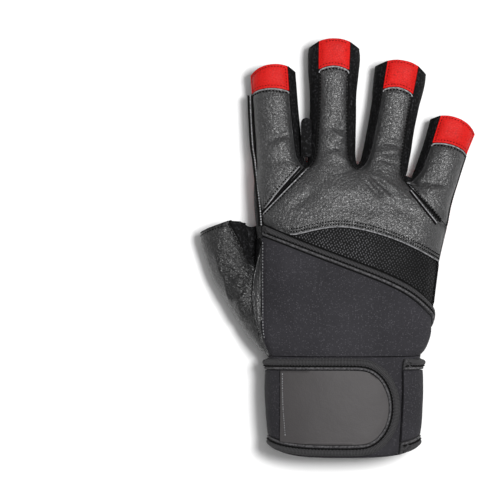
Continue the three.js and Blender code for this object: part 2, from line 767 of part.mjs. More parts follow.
const indexSide = [indexSeam(WEB_START), ...lineOnHand([indexSeam(ROOT_AT), thumbCorner], 2, 170)];
const littleSide = [littleSeam(WEB_START), ...lineOnHand([littleSeam(ROOT_AT), littleCorner], 2, 0)];
const indexPatch = planPatch([stripRows[0][0], indexDiagonal, indexSide, gaps[0].high.slice(0, halfway + 1)]);
addPiece('index_back', [stripRows[0], indexPatch], { wall: LEATHER });
const littleWeb = gaps[2].high.slice(halfway).reverse();
const littlePatch = planPatch([stripRows[3][0], littleDiagonal, littleWeb, littleSide]);
addPiece('little_back', [stripRows[3], littlePatch], { wall: LEATHER });

// Knuckles

// A finger's leather runs down to the line between the bottoms of the gaps beside it
const knuckleRows = [1, 2].map((i) => [
  ...steps(halfway).slice(0, -1).map((_, k) =>
    lineInPlan([gaps[i - 1].high[halfway + k], gaps[i].high[halfway - k]], SIDE_COLUMNS),
  ),
  ...stripRows[i],
]);
const knuckleLine = [...knuckleRows[0][0], ...knuckleRows[1][0].slice(1)];
const knuckleLeft = [...indexDiagonal.slice().reverse(), bindingTop[0]];
const knuckleRight = [...littleDiagonal, hemEnd];
const knuckleHem = [...bindingTop.slice(0, 3), ...hemArc];
const knuckles = planPatch([knuckleLine, knuckleHem, knuckleLeft, knuckleRight]);
addPiece('hand_back', [...knuckleRows, knuckles], { wall: LEATHER });

// Mesh, binding and neoprene across the back

const meshBottom = bindingTop.slice(3, 3 + HEM_COLUMNS + 1);
const meshTip = steps(3).map(() => hemArc[0]);
const meshSide = lineOnHand([hemEnd, meshBottom[HEM_COLUMNS]], 3, 0);
addPiece('mesh_panel', [handPatch(hemArc, meshBottom, meshTip, meshSide)], { wall: MESH_CLOTH, lift: -0.5 });

const bindingRows = steps(2).map((v) =>
  bindingTop.map((p, k) => {
    if (v === 0) return p;
    const q = bindingBottom[k];
    if (v === 1) return q;
    return handPoint(lerp(p.y, q.y, v), lerp(handAngle(p, ROUND_THE_SIDE), handAngle(q, ROUND_THE_SIDE), v));
  }),
);
addPiece('edge_binding', [bindingRows], { wall: BINDING, lift: 1.1, edge: 0.7 });

const wristBack = lineOnHand([sideSeamAt(0), bindingBottom[bindingEnd]], bindingEnd, ROUND_THE_SIDE);
const stripRight = steps(crease.length - 1).map((v) => {
  if (v === 0) return thumbGap.high[ARC_STEPS];
  return sideSeamAt(lerp(GAP_SIDE, 0, v));
});
const neopreneLeft = [bindingBottom[0], ...stripRight];
const neopreneRight = neopreneLeft.map(() => bindingBottom[bindingEnd]);
addPiece('neoprene_panel', [handPatch(bindingBottom, wristBack, neopreneLeft, neopreneRight, ROUND_THE_SIDE)], {
  wall: NEOPRENE,
});

// Between the fingers, and the thumb

const gapNames = ['gusset_index_middle', 'gusset_middle_ring', 'gusset_ring_little'];
gaps.forEach(({ rows }, i) => addPiece(gapNames[i], [rows], { wall: STRETCH_CLOTH }));
addPiece('thumb_gusset', [thumbGap.rows], { wall: STRETCH_CLOTH });
addPiece('thumb_back', [fanRows(thumbBackEdge, thumbPalmSeam, 6, new THREE.Vector3(-1, -0.3, 0.35), 13)], { wall: LEATHER });

const sideStrip = crease.map((p, i) =>
  i === 0 ? thumbGap.high.slice(halfway) : lineOnHand([p, stripRight[i]], halfway, ROUND_THE_SIDE),
);
addPiece('side_strip', [sideStrip], { wall: LEATHER });

// Under the thumb one patch runs down to the crotch, and the next one on to the wrist
const thumbRows = THUMB_BRANCH + halfway;
const thumbInner = thumbGap.rows.slice(0, thumbRows + 1).map((row) => row[0]);
const upperThumb = fanRows(thumbPalmSeam.slice(0, thumbRows + 1), thumbInner, 6, DOWN, 14);
const heelTop = [...upperThumb[thumbRows], ...thumbGap.rows.slice(thumbRows + 1).map((row) => row[0])];
const heelSteps = thumbPanelEdge.length - 1;
const heelBottom = lineOnHand(
  [thumbPalmSeam[thumbPalmSeam.length - 1], thumbPanelEdge[heelSteps]],
  heelTop.length - 1,
  ROUND_THE_PALM,
);
const heel = planPatch([heelTop, heelBottom, thumbPalmSeam.slice(thumbRows), thumbPanelEdge], -1);
addPiece('thumb_front', [upperThumb, heel], { wall: SUEDE });

// Palm

const frontRows = fingers.map((finger) => limbRows(finger, frontAngles(finger), 4, () => WEB_START, hemLine(finger)));
fingers.forEach((finger, i) => {
  addPiece(finger.name + '_front', [frontRows[i]], { wall: STRETCH_CLOTH });
  const hem = limbRows(finger, frontAngles(finger), 1, hemLine(finger), endLine(finger));
  addPiece(finger.name + '_hem', [hem], { wall: LEATHER });
});

// The red base climbs the index finger's side of the hand, above the thumb, and then spans the palm
const climbTop = frontRows[0][0].slice(0, 4);
const climbSeam = [...indexSide.slice(0, -1), ...steps(2).map((v) => sideSeamAt(lerp(THUMB_CORNER, GAP_TOP, v)))];
const climbSteps = climbSeam.length - 1;
climbSeam[climbSteps] = palmJoint[GUSSET_COLUMNS];
const climbEdge = lineInPlan([climbTop[3], palmJoint[0]], climbSteps, -1);
const climb = handPatch(climbTop, palmJoint.slice().reverse(), climbSeam, climbEdge, 190);

// It climbs the little finger's side less far
const littleTop = frontRows[3][0];
const littleFoot = handPoint(LITTLE_CORNER * PALM_LENGTH, UNDER_RIGHT);
const littleEdge = lineInPlan([littleTop[STRIP_COLUMNS], littleFoot], halfway, -1);
const littleBottom = lineOnHand([littleFoot, littleCorner], 3, 360);
const littleClimb = handPatch(littleTop.slice(STRIP_COLUMNS), littleBottom, littleEdge, littleSide, 360);

// Under each finger it runs up from the bottoms of the gaps beside it
const palmRoots = frontRows.map(([front], i) => {
  const top = i === 0 ? front.slice(3) : front.slice(0, STRIP_COLUMNS + 1);
  const left = i === 0 ? climbEdge.slice(0, halfway + 1).reverse() : gaps[i - 1].low.slice(halfway);
  const right = (i === 3 ? littleEdge : gaps[i].low.slice(0, halfway + 1)).slice().reverse();
  return left.map((p, k) => (k === halfway ? top : lineInPlan([p, right[k]], STRIP_COLUMNS, -1)));
});

// Then it spans the palm down to the wrist and the binding, and comes up on the hand's side
const palmLine = palmRoots.flatMap(([row], i) => row.slice(i ? 1 : 0));
const palmLeft = [...climbEdge.slice(halfway), ...thumbPanelEdge.slice(1)];
const palmRight = steps(palmLeft.length - 1).map((v) => rightSideAt(lerp(LITTLE_CORNER, 0.275, v)));
const alongBinding = lineOnHand(
  [bindingTop[bindingEnd], ...along(PALM_BINDING_TOP, palmAt).reverse().slice(1), bindingTop[3 + HEM_COLUMNS]],
  4 * 3,
  ROUND_THE_PALM,
);
const wristColumns = palmLine.length - 1 - 3 * 3;
const wristFront = lineOnHand([thumbPanelEdge[heelSteps], bindingTop[bindingEnd]], wristColumns, ROUND_THE_PALM);
const palmEnd = [...wristFront.slice(0, -1), ...alongBinding.slice(0, 3 * 3 + 1)];
const palmFoot = lineOnHand([littleFoot, palmEnd[palmEnd.length - 1]], palmLeft.length - 1, ROUND_THE_PALM);
const palm = planPatch([palmLine, palmEnd, palmLeft, palmFoot], -1);
const palmSide = handPatch(littleBottom, alongBinding.slice(3 * 3), palmFoot, palmRight, 360);
addPiece('palm_base', [climb, littleClimb, ...palmRoots, palm, palmSide], { wall: SUEDE });

// Pads under the fingers, one by the hem and one lower down
const padRows = (finger, s) =>
  steps(4).map((v) =>
    steps(4).map((u) => {
      const x = 2 * u - 1;
      const y = 2 * v - 1;
      const rounded = (a, b) => a * (1 - PAD_ROUNDING * (1 - Math.sqrt(1 - (b * b) / 2)));
      const aside = (rounded(x, y) * FINGER_PAD_WIDTH) / 2;
      const origin = finger.axis(s + (rounded(y, x) * FINGER_PAD_LENGTH) / 2);
      origin.x += finger.across.x * aside;
      origin.y += finger.across.y * aside;
      return leave(origin, DOWN);
    }),
  );
for (const finger of fingers) {
  const upper = finger.length - HEM_LENGTH - 0.6 * FINGER_PAD_LENGTH;
  addPiece(finger.name + '_upper_pad', [padRows(finger, upper)], PAD_LAYER);
  addPiece(finger.name + '_lower_pad', [padRows(finger, upper - 0.4 * finger.length)], PAD_LAYER);
}

// Pads and trim on the palm

const UPPER_PAD = [
  { across: -0.222, along: 0.975 },
  { across: -0.193, along: 0.875 },
  { across: -0.1, along: 0.792 },
  { across: 0.06, along: 0.742 },
  { across: 0.23, along: 0.74 },
  { across: 0.38, along: 0.772 },
  { across: 0.47, along: 0.82 },
  { across: 0.455, along: 0.855 },
  { across: 0.36, along: 0.88 },
  { across: 0.25, along: 0.925 },
  { across: 0.1, along: 0.965 },
  { across: -0.06, along: 0.975 },
  { across: -0.17, along: 0.99 },
];
const CRESCENT_OUTER = [
  { across: -0.38, along: 0.985 },
  { across: -0.37, along: 0.848 },
  { across: -0.3, along: 0.725 },
  { across: -0.162, along: 0.63 },
  { across: 0.04, along: 0.572 },
  { across: 0.2, along: 0.567 },
  { across: 0.34, along: 0.61 },
  { across: 0.41, along: 0.665 },
];
const CRESCENT_INNER = [
  { across: -0.262, along: 0.99 },
  { across: -0.256, along: 0.875 },
  { across: -0.185, along: 0.775 },
  { across: -0.07, along: 0.71 },
  { across: 0.08, along: 0.672 },
  { across: 0.22, along: 0.665 },
  { across: 0.34, along: 0.69 },
  { across: 0.42, along: 0.722 },
];
const HEEL_PAD = [
  { across: 0.01, along: 0.445 },
  { across: 0.09, along: 0.483 },
  { across: 0.2, along: 0.47 },
  { across: 0.31, along: 0.43 },
  { across: 0.375, along: 0.375 },
  { across: 0.393, along: 0.305 },
  { across: 0.36, along: 0.243 },
  { across: 0.29, along: 0.19 },
  { across: 0.2, along: 0.178 },
  { across: 0.1, along: 0.245 },
  { across: 0.03, along: 0.345 },
];
const PIPING = [
  { across: -0.24, along: 1 },
  { across: -0.228, along: 0.9 },
  { across: -0.152, along: 0.8 },
  { across: -0.04, along: 0.74 },
  { across: 0.07, along: 0.707 },
  { across: 0.2, along: 0.7 },
];
const CROTCH_PATCH = [
  { across: -0.375, along: 0.545 },
  { across: -0.368, along: 0.588 },
  { across: -0.325, along: 0.602 },
  { across: -0.27, along: 0.572 },
  { across: -0.255, along: 0.515 },
  { across: -0.3, along: 0.483 },
  { across: -0.36, along: 0.497 },
];
addPiece('upper_palm_pad', [discRows(UPPER_PAD, { across: 0.13, along: 0.87 }, FULL_RINGS, palmAt, 20)], PAD_LAYER);
addPiece('crescent_pad', [bandRows(CRESCENT_OUTER, CRESCENT_INNER, 16, 3, palmAt)], PAD_LAYER);
addPiece('heel_pad', [discRows(HEEL_PAD, { across: 0.22, along: 0.32 }, FULL_RINGS, palmAt)], PAD_LAYER);
const pipingEdge = (side) => beside(PIPING, (side * PIPING_WIDTH) / 2);
addPiece('palm_piping', [bandRows(pipingEdge(1), pipingEdge(-1), 12, 1, palmAt)], { ...PAD_LAYER, edge: 1, wall: 1.4, lift: 2 * LAYER_GAP + 1.4 });
addPiece('thumb_crotch_patch', [discRows(CROTCH_PATCH, { across: -0.315, along: 0.545 }, [[0, 0], [1, 1]], palmAt, 12)], {
  wall: LEATHER,
  lift: 2 * LAYER_GAP + LEATHER,
});

// Cuff

const cuffEnd = (degrees) => -CUFF_LENGTH * (1 - CUFF_CURVE * Math.cos(degToRad(degrees)) ** 4);

// Wrist strap: once round the cuff from a seam on the back to a rounded tab that meets it

const STRAP_START = 0.375 * CUFF_WIDTH;
const TAB_FROM = -0.405 * CUFF_WIDTH;
const TAB_ROUNDING = 0.262 * CUFF_WIDTH;
const TAB_TIP = 0.366 * CUFF_WIDTH;
const STRAP_TOP = -0.012 * CUFF_LENGTH;
const STRAP_BINDING = 6.8;
const STRAP_REACH = 0.985;
const backPlace = (x, y) => leave(new THREE.Vector3(x, y, handAxis(y).z), UP);
const strapMiddle = 0.5 * (STRAP_TOP + STRAP_REACH * cuffEnd(90));
const strapBottom = (degrees) => STRAP_REACH * cuffEnd(degrees);
const startAngle = handAngle(backPlace(STRAP_START, strapMiddle));
const tabAngle = handAngle(backPlace(TAB_FROM, strapMiddle));
// A column of the strap gives the point at a share of its width, once its edges are drawn in
function ringColumn(degrees) {
  return (share, inset) => {
    const bottom = strapBottom(degrees) + inset;
    return handPoint(lerp(STRAP_TOP - inset, bottom, share), degrees);
  };
}
function tabColumn(x) {
  const degrees = handAngle(backPlace(x, strapMiddle));
  return (share, inset) => backPlace(x, lerp(STRAP_TOP - inset, strapBottom(degrees) + inset, share));
}
function endColumn(t) {
  const angle = (t * Math.PI) / 2;
  return (share, inset) => {
    const x = TAB_TIP - TAB_ROUNDING + (TAB_ROUNDING - inset) * Math.sin(angle);
    const reach = (strapMiddle - strapBottom(90) - inset) * Math.cos(angle);
    return backPlace(x, strapMiddle + reach * (1 - 2 * share));
  };
}
const ringAngles = steps(RING_STEPS).map((t) => lerp(startAngle, tabAngle - 360, t));
const ringColumns = ringAngles.map(ringColumn);
const tabColumns = steps(4).slice(1, -1).map((t) => tabColumn(lerp(TAB_FROM, TAB_TIP - TAB_ROUNDING, t)));
const endColumns = steps(5).map(endColumn);
const strapColumns = [...ringColumns, ...tabColumns, ...endColumns];
const patchColumns = [tabColumn(TAB_FROM), ...tabColumns, ...endColumns];
const coreRows = (columns) => steps(3).map((v) => columns.map((column) => column(v, STRAP_BINDING)));
const cuffAngles = [...ringAngles, ...steps(6).slice(1).map((t) => lerp(tabAngle - 360, startAngle - 360, t))];
const cuffRows = [0, 0.075, 0.14, 0.45, 0.75, 1].map((v) => {
  const row = cuffAngles.slice(0, -1).map((degrees) => handPoint(lerp(0, cuffEnd(degrees), v), degrees));
  return [...row, row[0]];
});
addPiece('cuff', [cuffRows], { wall: NEOPRENE });
addPiece('wrist_strap', [coreRows(strapColumns)], { wall: STRAP, lift: LAYER_GAP + STRAP });
addPiece('strap_patch', [coreRows(patchColumns)], { wall: VINYL, lift: 2 * LAYER_GAP + STRAP + VINYL, edge: 0.8 });
const rollRows = [0, 0.5, 1].map((share) => [
  ...strapColumns.map((column) => column(0, share * STRAP_BINDING)),
  ...strapColumns.slice(0, -1).reverse().map((column) => column(1, share * STRAP_BINDING)),
]);
addPiece('strap_binding', [rollRows], { wall: BINDING, lift: LAYER_GAP + BINDING, edge: 0.6 });

// Patch on the palm side of the wrist: degrees round the wrist and shares of the cuff's length
const WRIST_OUTLINE = [
  { across: 212, along: -0.84 },
  { across: 210, along: -0.64 },
  { across: 211, along: -0.42 },
  { across: 223, along: -0.25 },
  { across: 258, along: -0.165 },
  { across: 300, along: -0.14 },
  { across: 316, along: -0.27 },
  { across: 322, along: -0.54 },
  { across: 329, along: -0.76 },
  { across: 325, along: -0.87 },
  { across: 305, along: -0.925 },
  { across: 268, along: -0.94 },
  { across: 228, along: -0.925 },
];
const wristCentre = { across: 268, along: -0.54 };
const wristPlace = (degrees, share) => handPoint(share * CUFF_LENGTH, degrees);
const wristLift = CUFF_FLOOR;
addPiece('wrist_patch', [discRows(WRIST_OUTLINE, wristCentre, [[0, 0], [0.45, 0.38], [0.86, 0.75]], wristPlace, 26)], {
  wall: WRIST_PATCH - 0.4,
  lift: wristLift - 0.4,
});
addPiece('wrist_patch_binding', [discRows(WRIST_OUTLINE, wristCentre, [[0.86, 0.75], [0.93, 0.875], [1, 1]], wristPlace, 26)], {
  wall: WRIST_PATCH,
  lift: wristLift,
  edge: 0.7,
});

// A narrow pull tab lies between the index and middle fingers
const tabStart = leave(
  new THREE.Vector3((rootOf(indexFinger).x + rootOf(middleFinger).x) / 2, 0.95 * PALM_LENGTH, PULL_TAB_HEIGHT),
  new THREE.Vector3(0, 1, 0),
);
const outline = new THREE.Shape();
const tabHalf = PULL_TAB_WIDTH / 2;
outline.moveTo(-tabHalf, 0);
outline.lineTo(tabHalf, 0);
outline.lineTo(tabHalf, PULL_TAB_LENGTH - tabHalf);
outline.absarc(0, PULL_TAB_LENGTH - tabHalf, tabHalf, 0, Math.PI, false);
const leaf = new THREE.ExtrudeGeometry(outline, { depth: LEATHER, bevelEnabled: false, curveSegments: 8 });
const pullTab = new THREE.Mesh(leaf, new THREE.MeshStandardMaterial());
pullTab.name = 'pull_tab';
// Its lower corners stay clear of the gusset that narrows below it
pullTab.position.copy(tabStart).add(new THREE.Vector3(0, 0.68 * PULL_TAB_WIDTH, 0));
pieces.push(pullTab);

const model = new THREE.Group();
model.name = 'weightlifting_glove';
model.add(...pieces);
const bounds = new THREE.Box3().setFromObject(model);
const middle = bounds.getCenter(new THREE.Vector3());
model.position.set(-middle.x, -middle.y, -bounds.min.z);
export default model;
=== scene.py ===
"""Dresses the solid model of a right-hand weightlifting glove in leather, mesh, neoprene, tape and stitches.

Every panel of the model is taken as a rough block of its material. It is made smooth and drawn down at its
seams, and the leather is given the folds of a used glove. Stitches, piping and studio come after it. All
lengths are in metres, and tables that say so are in millimetres of the same frame: the fingers point along +Y
and the thumb lies at -X.
"""

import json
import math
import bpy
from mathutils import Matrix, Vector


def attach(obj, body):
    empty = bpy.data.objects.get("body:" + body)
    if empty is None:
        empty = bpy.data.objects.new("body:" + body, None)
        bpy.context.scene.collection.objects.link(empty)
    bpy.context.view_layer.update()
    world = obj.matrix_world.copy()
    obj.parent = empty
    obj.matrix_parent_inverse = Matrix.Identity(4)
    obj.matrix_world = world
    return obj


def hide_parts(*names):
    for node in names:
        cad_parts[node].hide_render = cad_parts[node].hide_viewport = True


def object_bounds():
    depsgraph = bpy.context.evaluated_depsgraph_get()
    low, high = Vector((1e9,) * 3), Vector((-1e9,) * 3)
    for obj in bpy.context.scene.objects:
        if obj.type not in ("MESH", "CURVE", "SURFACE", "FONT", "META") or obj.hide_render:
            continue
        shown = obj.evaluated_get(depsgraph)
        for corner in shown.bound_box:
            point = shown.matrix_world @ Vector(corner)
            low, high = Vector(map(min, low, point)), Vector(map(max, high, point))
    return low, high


bl_info = {
    "name": "Weightlifting Glove",
    "version": (1, 0, 0),
    "blender": (4, 5, 0),
    "location": "3D View > Sidebar > Glove",
    "description": "Tailors a weightlifting glove over its solid model and sets up a studio for it",
    "category": "Object",
}

import bpy
import numpy as np
from bpy.props import FloatProperty, FloatVectorProperty, PointerProperty
from mathutils import Vector, noise
from mathutils.bvhtree import BVHTree
from mathutils.kdtree import KDTree

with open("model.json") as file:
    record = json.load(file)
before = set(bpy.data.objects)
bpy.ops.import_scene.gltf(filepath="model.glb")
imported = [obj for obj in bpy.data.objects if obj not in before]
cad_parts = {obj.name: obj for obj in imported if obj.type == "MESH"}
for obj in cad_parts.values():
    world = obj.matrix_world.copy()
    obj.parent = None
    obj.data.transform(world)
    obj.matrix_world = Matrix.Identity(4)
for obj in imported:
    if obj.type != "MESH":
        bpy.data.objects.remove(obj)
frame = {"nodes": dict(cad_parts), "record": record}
cad_low, cad_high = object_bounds()
bpy.ops.object.select_all(action="DESELECT")

MM = 0.001
FINGERS = ("index", "middle", "ring", "little")
HOLLOWS = [
    [Vector(corner) for corner in opening["box_m"]]
    for opening in frame["record"]["physics"]["openings"]
    if not opening["name"].startswith("gap")
]

# Folds of the leather, in millimetres: middle of each fold, its direction in degrees from +X, and its size.
# A negative height is a valley.
FOLDS = [
    {"x": -32.5, "y": 62, "turn": 20, "long": 13, "wide": 2.2, "high": -0.55},
    {"x": -33.5, "y": 57, "turn": 28, "long": 12, "wide": 2.0, "high": 0.45},
    {"x": -37.0, "y": 47, "turn": 12, "long": 16, "wide": 2.6, "high": -0.4},
    {"x": 3.5, "y": 66, "turn": -18, "long": 16, "wide": 2.0, "high": -0.65},
    {"x": 2.0, "y": 61.5, "turn": -12, "long": 15, "wide": 1.9, "high": 0.55},
    {"x": 3.5, "y": 56.5, "turn": 10, "long": 17, "wide": 2.0, "high": -0.6},
    {"x": 1.0, "y": 50, "turn": -22, "long": 14, "wide": 2.4, "high": 0.45},
    {"x": 31.0, "y": 58, "turn": -8, "long": 15, "wide": 2.0, "high": -0.65},
    {"x": 29.5, "y": 53, "turn": 4, "long": 15, "wide": 1.9, "high": 0.5},
    {"x": 30.0, "y": 48, "turn": -14, "long": 16, "wide": 2.2, "high": -0.5},
    {"x": 20.0, "y": 32, "turn": -48, "long": 13, "wide": 1.5, "high": -0.5},
    {"x": 22.5, "y": 33, "turn": -44, "long": 14, "wide": 1.4, "high": 0.45},
    {"x": 24.5, "y": 34, "turn": -40, "long": 14, "wide": 1.5, "high": -0.45},
    {"x": 27.5, "y": 35, "turn": -34, "long": 13, "wide": 1.5, "high": 0.4},
    {"x": 53.0, "y": 36, "turn": -6, "long": 15, "wide": 2.2, "high": -0.6},
    {"x": 51.5, "y": 31, "turn": 4, "long": 14, "wide": 2.2, "high": 0.45},
    {"x": 0.0, "y": 31, "turn": 4, "long": 26, "wide": 5.0, "high": 0.5},
    {"x": -19.0, "y": 27, "turn": 35, "long": 16, "wide": 3.0, "high": -0.5},
    {"x": 38.0, "y": 20, "turn": -30, "long": 18, "wide": 3.4, "high": -0.5},
    {"x": 12.0, "y": 22, "turn": -12, "long": 24, "wide": 4.0, "high": -0.35},
    {"x": -59.0, "y": -14, "turn": -30, "long": 12, "wide": 1.4, "high": -0.5},
    {"x": -57.5, "y": -17, "turn": -34, "long": 13, "wide": 1.3, "high": 0.4},
    {"x": -54.0, "y": -24, "turn": 48, "long": 15, "wide": 1.3, "high": -0.45},
    {"x": -51.5, "y": -26, "turn": 46, "long": 14, "wide": 1.3, "high": 0.4},
    {"x": -50.5, "y": -38, "turn": 62, "long": 16, "wide": 1.4, "high": -0.4},
]


def colour(name, description, value):
    """A colour that a maker would choose"""
    return FloatVectorProperty(
        name=name, description=description, subtype="COLOR", min=0, max=1, default=value
    )


def measure(name, description, value, least):
    """A length that a maker would choose"""
    return FloatProperty(name=name, description=description, default=value, min=least, unit="LENGTH")


class GloveColours(bpy.types.PropertyGroup):
    """Colours of the glove's materials"""

    leather: colour("Leather", "Charcoal leather of the back", (0.025, 0.025, 0.026))
    red_leather: colour("Red leather", "Tabs at the fingers' ends", (0.62, 0.012, 0.01))
    red_suede: colour("Red suede", "Base of the palm", (0.6, 0.014, 0.01))
    pad_suede: colour("Pad suede", "Pads of the palm and the fingers", (0.036, 0.036, 0.038))
    stretch: colour("Stretch cloth", "Sides and fronts of the fingers", (0.0065, 0.0065, 0.007))
    mesh: colour("Mesh", "Airy cloth across the back", (0.004, 0.004, 0.0042))
    neoprene: colour("Neoprene", "Lower back, cuff and strap", (0.026, 0.025, 0.029))
    tape: colour("Tape", "Ribbed tape of the bound edges", (0.046, 0.045, 0.047))
    vinyl: colour("Vinyl", "Bare patch on the strap's end", (0.058, 0.054, 0.055))
    wrist_foam: colour("Wrist foam", "Patch under the wrist", (0.07, 0.064, 0.078))
    thread: colour("Thread", "Black sewing thread", (0.003, 0.003, 0.003))
    red_thread: colour("Red thread", "Dark red thread of the tabs", (0.16, 0.004, 0.004))
    # Painted highlight: the pale colour of the cords and dashes that stand for light on turned edges and
    # ridges. It is also the colour of pale thread.
    edge_highlight_and_pale_thread: colour("Edge highlight and pale thread", "Painted highlight of turned edges and ridges, and pale thread", (0.3, 0.3, 0.31))


class GloveTrim(bpy.types.PropertyGroup):
    """Sizes of the sewing"""

    stitch_length: measure("Stitch", "Length of one stitch", 1.2 * MM, 0.5 * MM)
    stitch_pitch: measure("Pitch", "From one stitch to the next", 1.75 * MM, 1 * MM)
    stitch_width: measure("Thread width", "Width of the thread", 0.62 * MM, 0.2 * MM)
    piping: measure("Piping", "Thickness of the tabs' turned edges", 0.7 * MM, 0.2 * MM)
    seam_depth: measure("Seam depth", "How far a panel dips at its seams", 0.75 * MM, 0.0)
    seam_width: measure("Seam width", "How wide that dip is", 2.2 * MM, 0.5 * MM)
    rib_pitch: measure("Tape ribs", "From one rib of the tape to the next", 0.8 * MM, 0.2 * MM)


class GloveStudio(bpy.types.PropertyGroup):
    """Camera and light"""

    camera_height: measure("Camera height", "Camera over the floor", 2.2, 0.5)
    view_width: measure("View width", "Width of the picture at the glove", 0.28, 0.05)
    key_power: FloatProperty(
        name="Key light", description="Power of the softbox at the upper right", default=27.0, min=0
    )
    top_power: FloatProperty(
        name="Top light", description="Power of the softbox overhead", default=14.0, min=0
    )
    sky: FloatProperty(name="Sky", description="Strength of the even light all round", default=0.22, min=0)


def colours():
    """The maker's colours"""
    return bpy.context.scene.glove_colours


def trim():
    """The maker's sewing sizes"""
    return bpy.context.scene.glove_trim


# Shaders


class Shader:
    """A material on a Principled shader, with short ways to add nodes

    Scales of noise and cells are for one metre, and heights of bumps are in metres.
    """

    def __init__(self, name, colour, roughness, **sockets):
        self.material = bpy.data.materials.new(name)
        self.material.use_nodes = True
        self.material.diffuse_color = (*colour, 1)
        self.tree = self.material.node_tree
        self.surface = self.tree.nodes["Principled BSDF"]
        self.surface.inputs["Base Color"].default_value = (*colour, 1)
        self.surface.inputs["Roughness"].default_value = roughness
        for socket, value in sockets.items():
            self.surface.inputs[socket.replace("_", " ")].default_value = value
        self.normal = None
        self.place = self.add("ShaderNodeTexCoord").outputs["Object"]

    def add(self, kind, values=None, **settings):
        made = self.tree.nodes.new(kind)
        for name, value in settings.items():
            setattr(made, name, value)
        for socket, value in (values or {}).items():
            if isinstance(value, bpy.types.NodeSocket):
                self.tree.links.new(value, made.inputs[socket])
            else:
                made.inputs[socket].default_value = value
        return made

    def link(self, output, socket):
        self.tree.links.new(output, self.surface.inputs[socket])

    def math(self, operation, a, b=0.0):
        return self.add("ShaderNodeMath", {0: a, 1: b}, operation=operation).outputs[0]

    def noise(self, scale, detail=3.0, roughness=0.6):
        values = {"Vector": self.place, "Scale": scale, "Detail": detail, "Roughness": roughness}
        return self.add("ShaderNodeTexNoise", values).outputs["Fac"]

    def cells(self, scale, feature="F1", randomness=1.0, vector=None, **settings):
        values = {"Vector": vector or self.place, "Scale": scale, "Randomness": randomness}
        return self.add("ShaderNodeTexVoronoi", values, feature=feature, **settings)

    def moved(self, scale, turn):
        values = {"Vector": self.place, "Scale": scale, "Rotation": turn}
        return self.add("ShaderNodeMapping", values).outputs["Vector"]

    def split(self, source=None):
        return self.add("ShaderNodeSeparateXYZ", {"Vector": source or self.place}).outputs

    def level(self, value, low, high, to_low=0.0, to_high=1.0):
        values = {"Value": value, "From Min": low, "From Max": high, "To Min": to_low, "To Max": to_high}
        return self.add("ShaderNodeMapRange", values).outputs["Result"]

    def mix(self, factor, a, b):
        values = {0: factor}
        for socket, value in ((6, a), (7, b)):
            values[socket] = value if isinstance(value, bpy.types.NodeSocket) else (*value, 1)
        return self.add("ShaderNodeMix", values, data_type="RGBA").outputs[2]

    def bump(self, value, distance):
        values = {"Height": value, "Distance": distance}
        if self.normal is not None:
            values["Normal"] = self.normal
        self.normal = self.add("ShaderNodeBump", values).outputs["Normal"]
        self.link(self.normal, "Normal")


def shade(colour, share):
    """A colour made darker or lighter"""
    return tuple(min(1.0, part * share) for part in colour)


def leather_material(name, colour, roughness=0.38, shine=0.85, crease=0.0004, grain=0.0006, pores=0.00008):
    """Grained leather, with the heights of its creases, its grain and its pores in metres"""
    made = Shader(name, colour, roughness, Specular_IOR_Level=shine)
    tone = made.level(made.noise(45, 2), 0.3, 0.7)
    base = made.mix(tone, shade(colour, 0.9), shade(colour, 1.12))
    pore = made.level(made.cells(1000, "DISTANCE_TO_EDGE").outputs["Distance"], 0.0, 0.12)
    made.link(made.mix(pore, shade(colour, 0.6), base), "Base Color")
    made.link(made.level(made.noise(700, 2), 0.3, 0.7, roughness - 0.06, roughness + 0.1), "Roughness")
    made.bump(made.noise(120, 3, 0.6), crease)
    made.bump(made.noise(720, 2, 0.5), grain)
    made.bump(pore, pores)
    return made


def suede_material(name, colour):
    made = Shader(name, colour, 0.9, Sheen_Weight=0.12, Sheen_Roughness=0.5, Specular_IOR_Level=0.15)
    nap = made.noise(700, 5, 0.7)
    broad = made.noise(70, 3)
    base = made.mix(made.level(broad, 0.3, 0.7), shade(colour, 0.8), shade(colour, 1.2))
    made.link(made.mix(made.level(nap, 0.35, 0.65), shade(colour, 0.65), base), "Base Color")
    made.bump(nap, 0.00045)
    made.bump(made.noise(2300, 2), 0.00015)
    return made


def red_base_material(name, colour, side):
    """Suede that turns to dark cloth where the base climbs the hand's sides"""
    made = suede_material(name, colour)
    up = made.level(made.split()[2], 7.6 * MM, 8.4 * MM)
    plain = made.surface.inputs["Base Color"].links[0].from_socket
    cloth = made.mix(made.level(made.noise(950, 3, 0.7), 0.5, 0.7), side, shade(side, 6))
    made.link(made.mix(up, plain, cloth), "Base Color")
    return made


def neoprene_material(name, colour):
    made = Shader(name, colour, 0.8, Specular_IOR_Level=0.15)
    speck = made.cells(1250)
    dot = made.level(speck.outputs["Distance"], 0.5, 0.25)
    chosen = made.level(made.split(speck.outputs["Color"])[0], 0.5, 1.0, 0.0, 0.42)
    base = made.mix(made.level(made.noise(35, 2), 0.3, 0.7), shade(colour, 0.85), shade(colour, 1.15))
    made.link(made.mix(made.math("MULTIPLY", dot, chosen), base, (0.13, 0.125, 0.14)), "Base Color")
    made.bump(made.noise(1300, 3), 0.0003)
    made.bump(made.noise(90, 2), 0.0008)
    return made


def stretch_material(name, colour, ribs=False):
    made = Shader(name, colour, 0.85, Specular_IOR_Level=0.12)
    knots = made.noise(850, 3, 0.7)
    made.link(made.mix(made.level(knots, 0.52, 0.72), shade(colour, 0.6), shade(colour, 7)), "Base Color")
    made.bump(knots, 0.0005)
    if ribs:
        along = made.math("MULTIPLY", made.split()[1], 2 * math.pi / 0.0014)
        made.bump(made.math("SINE", along), 0.00035)
    return made


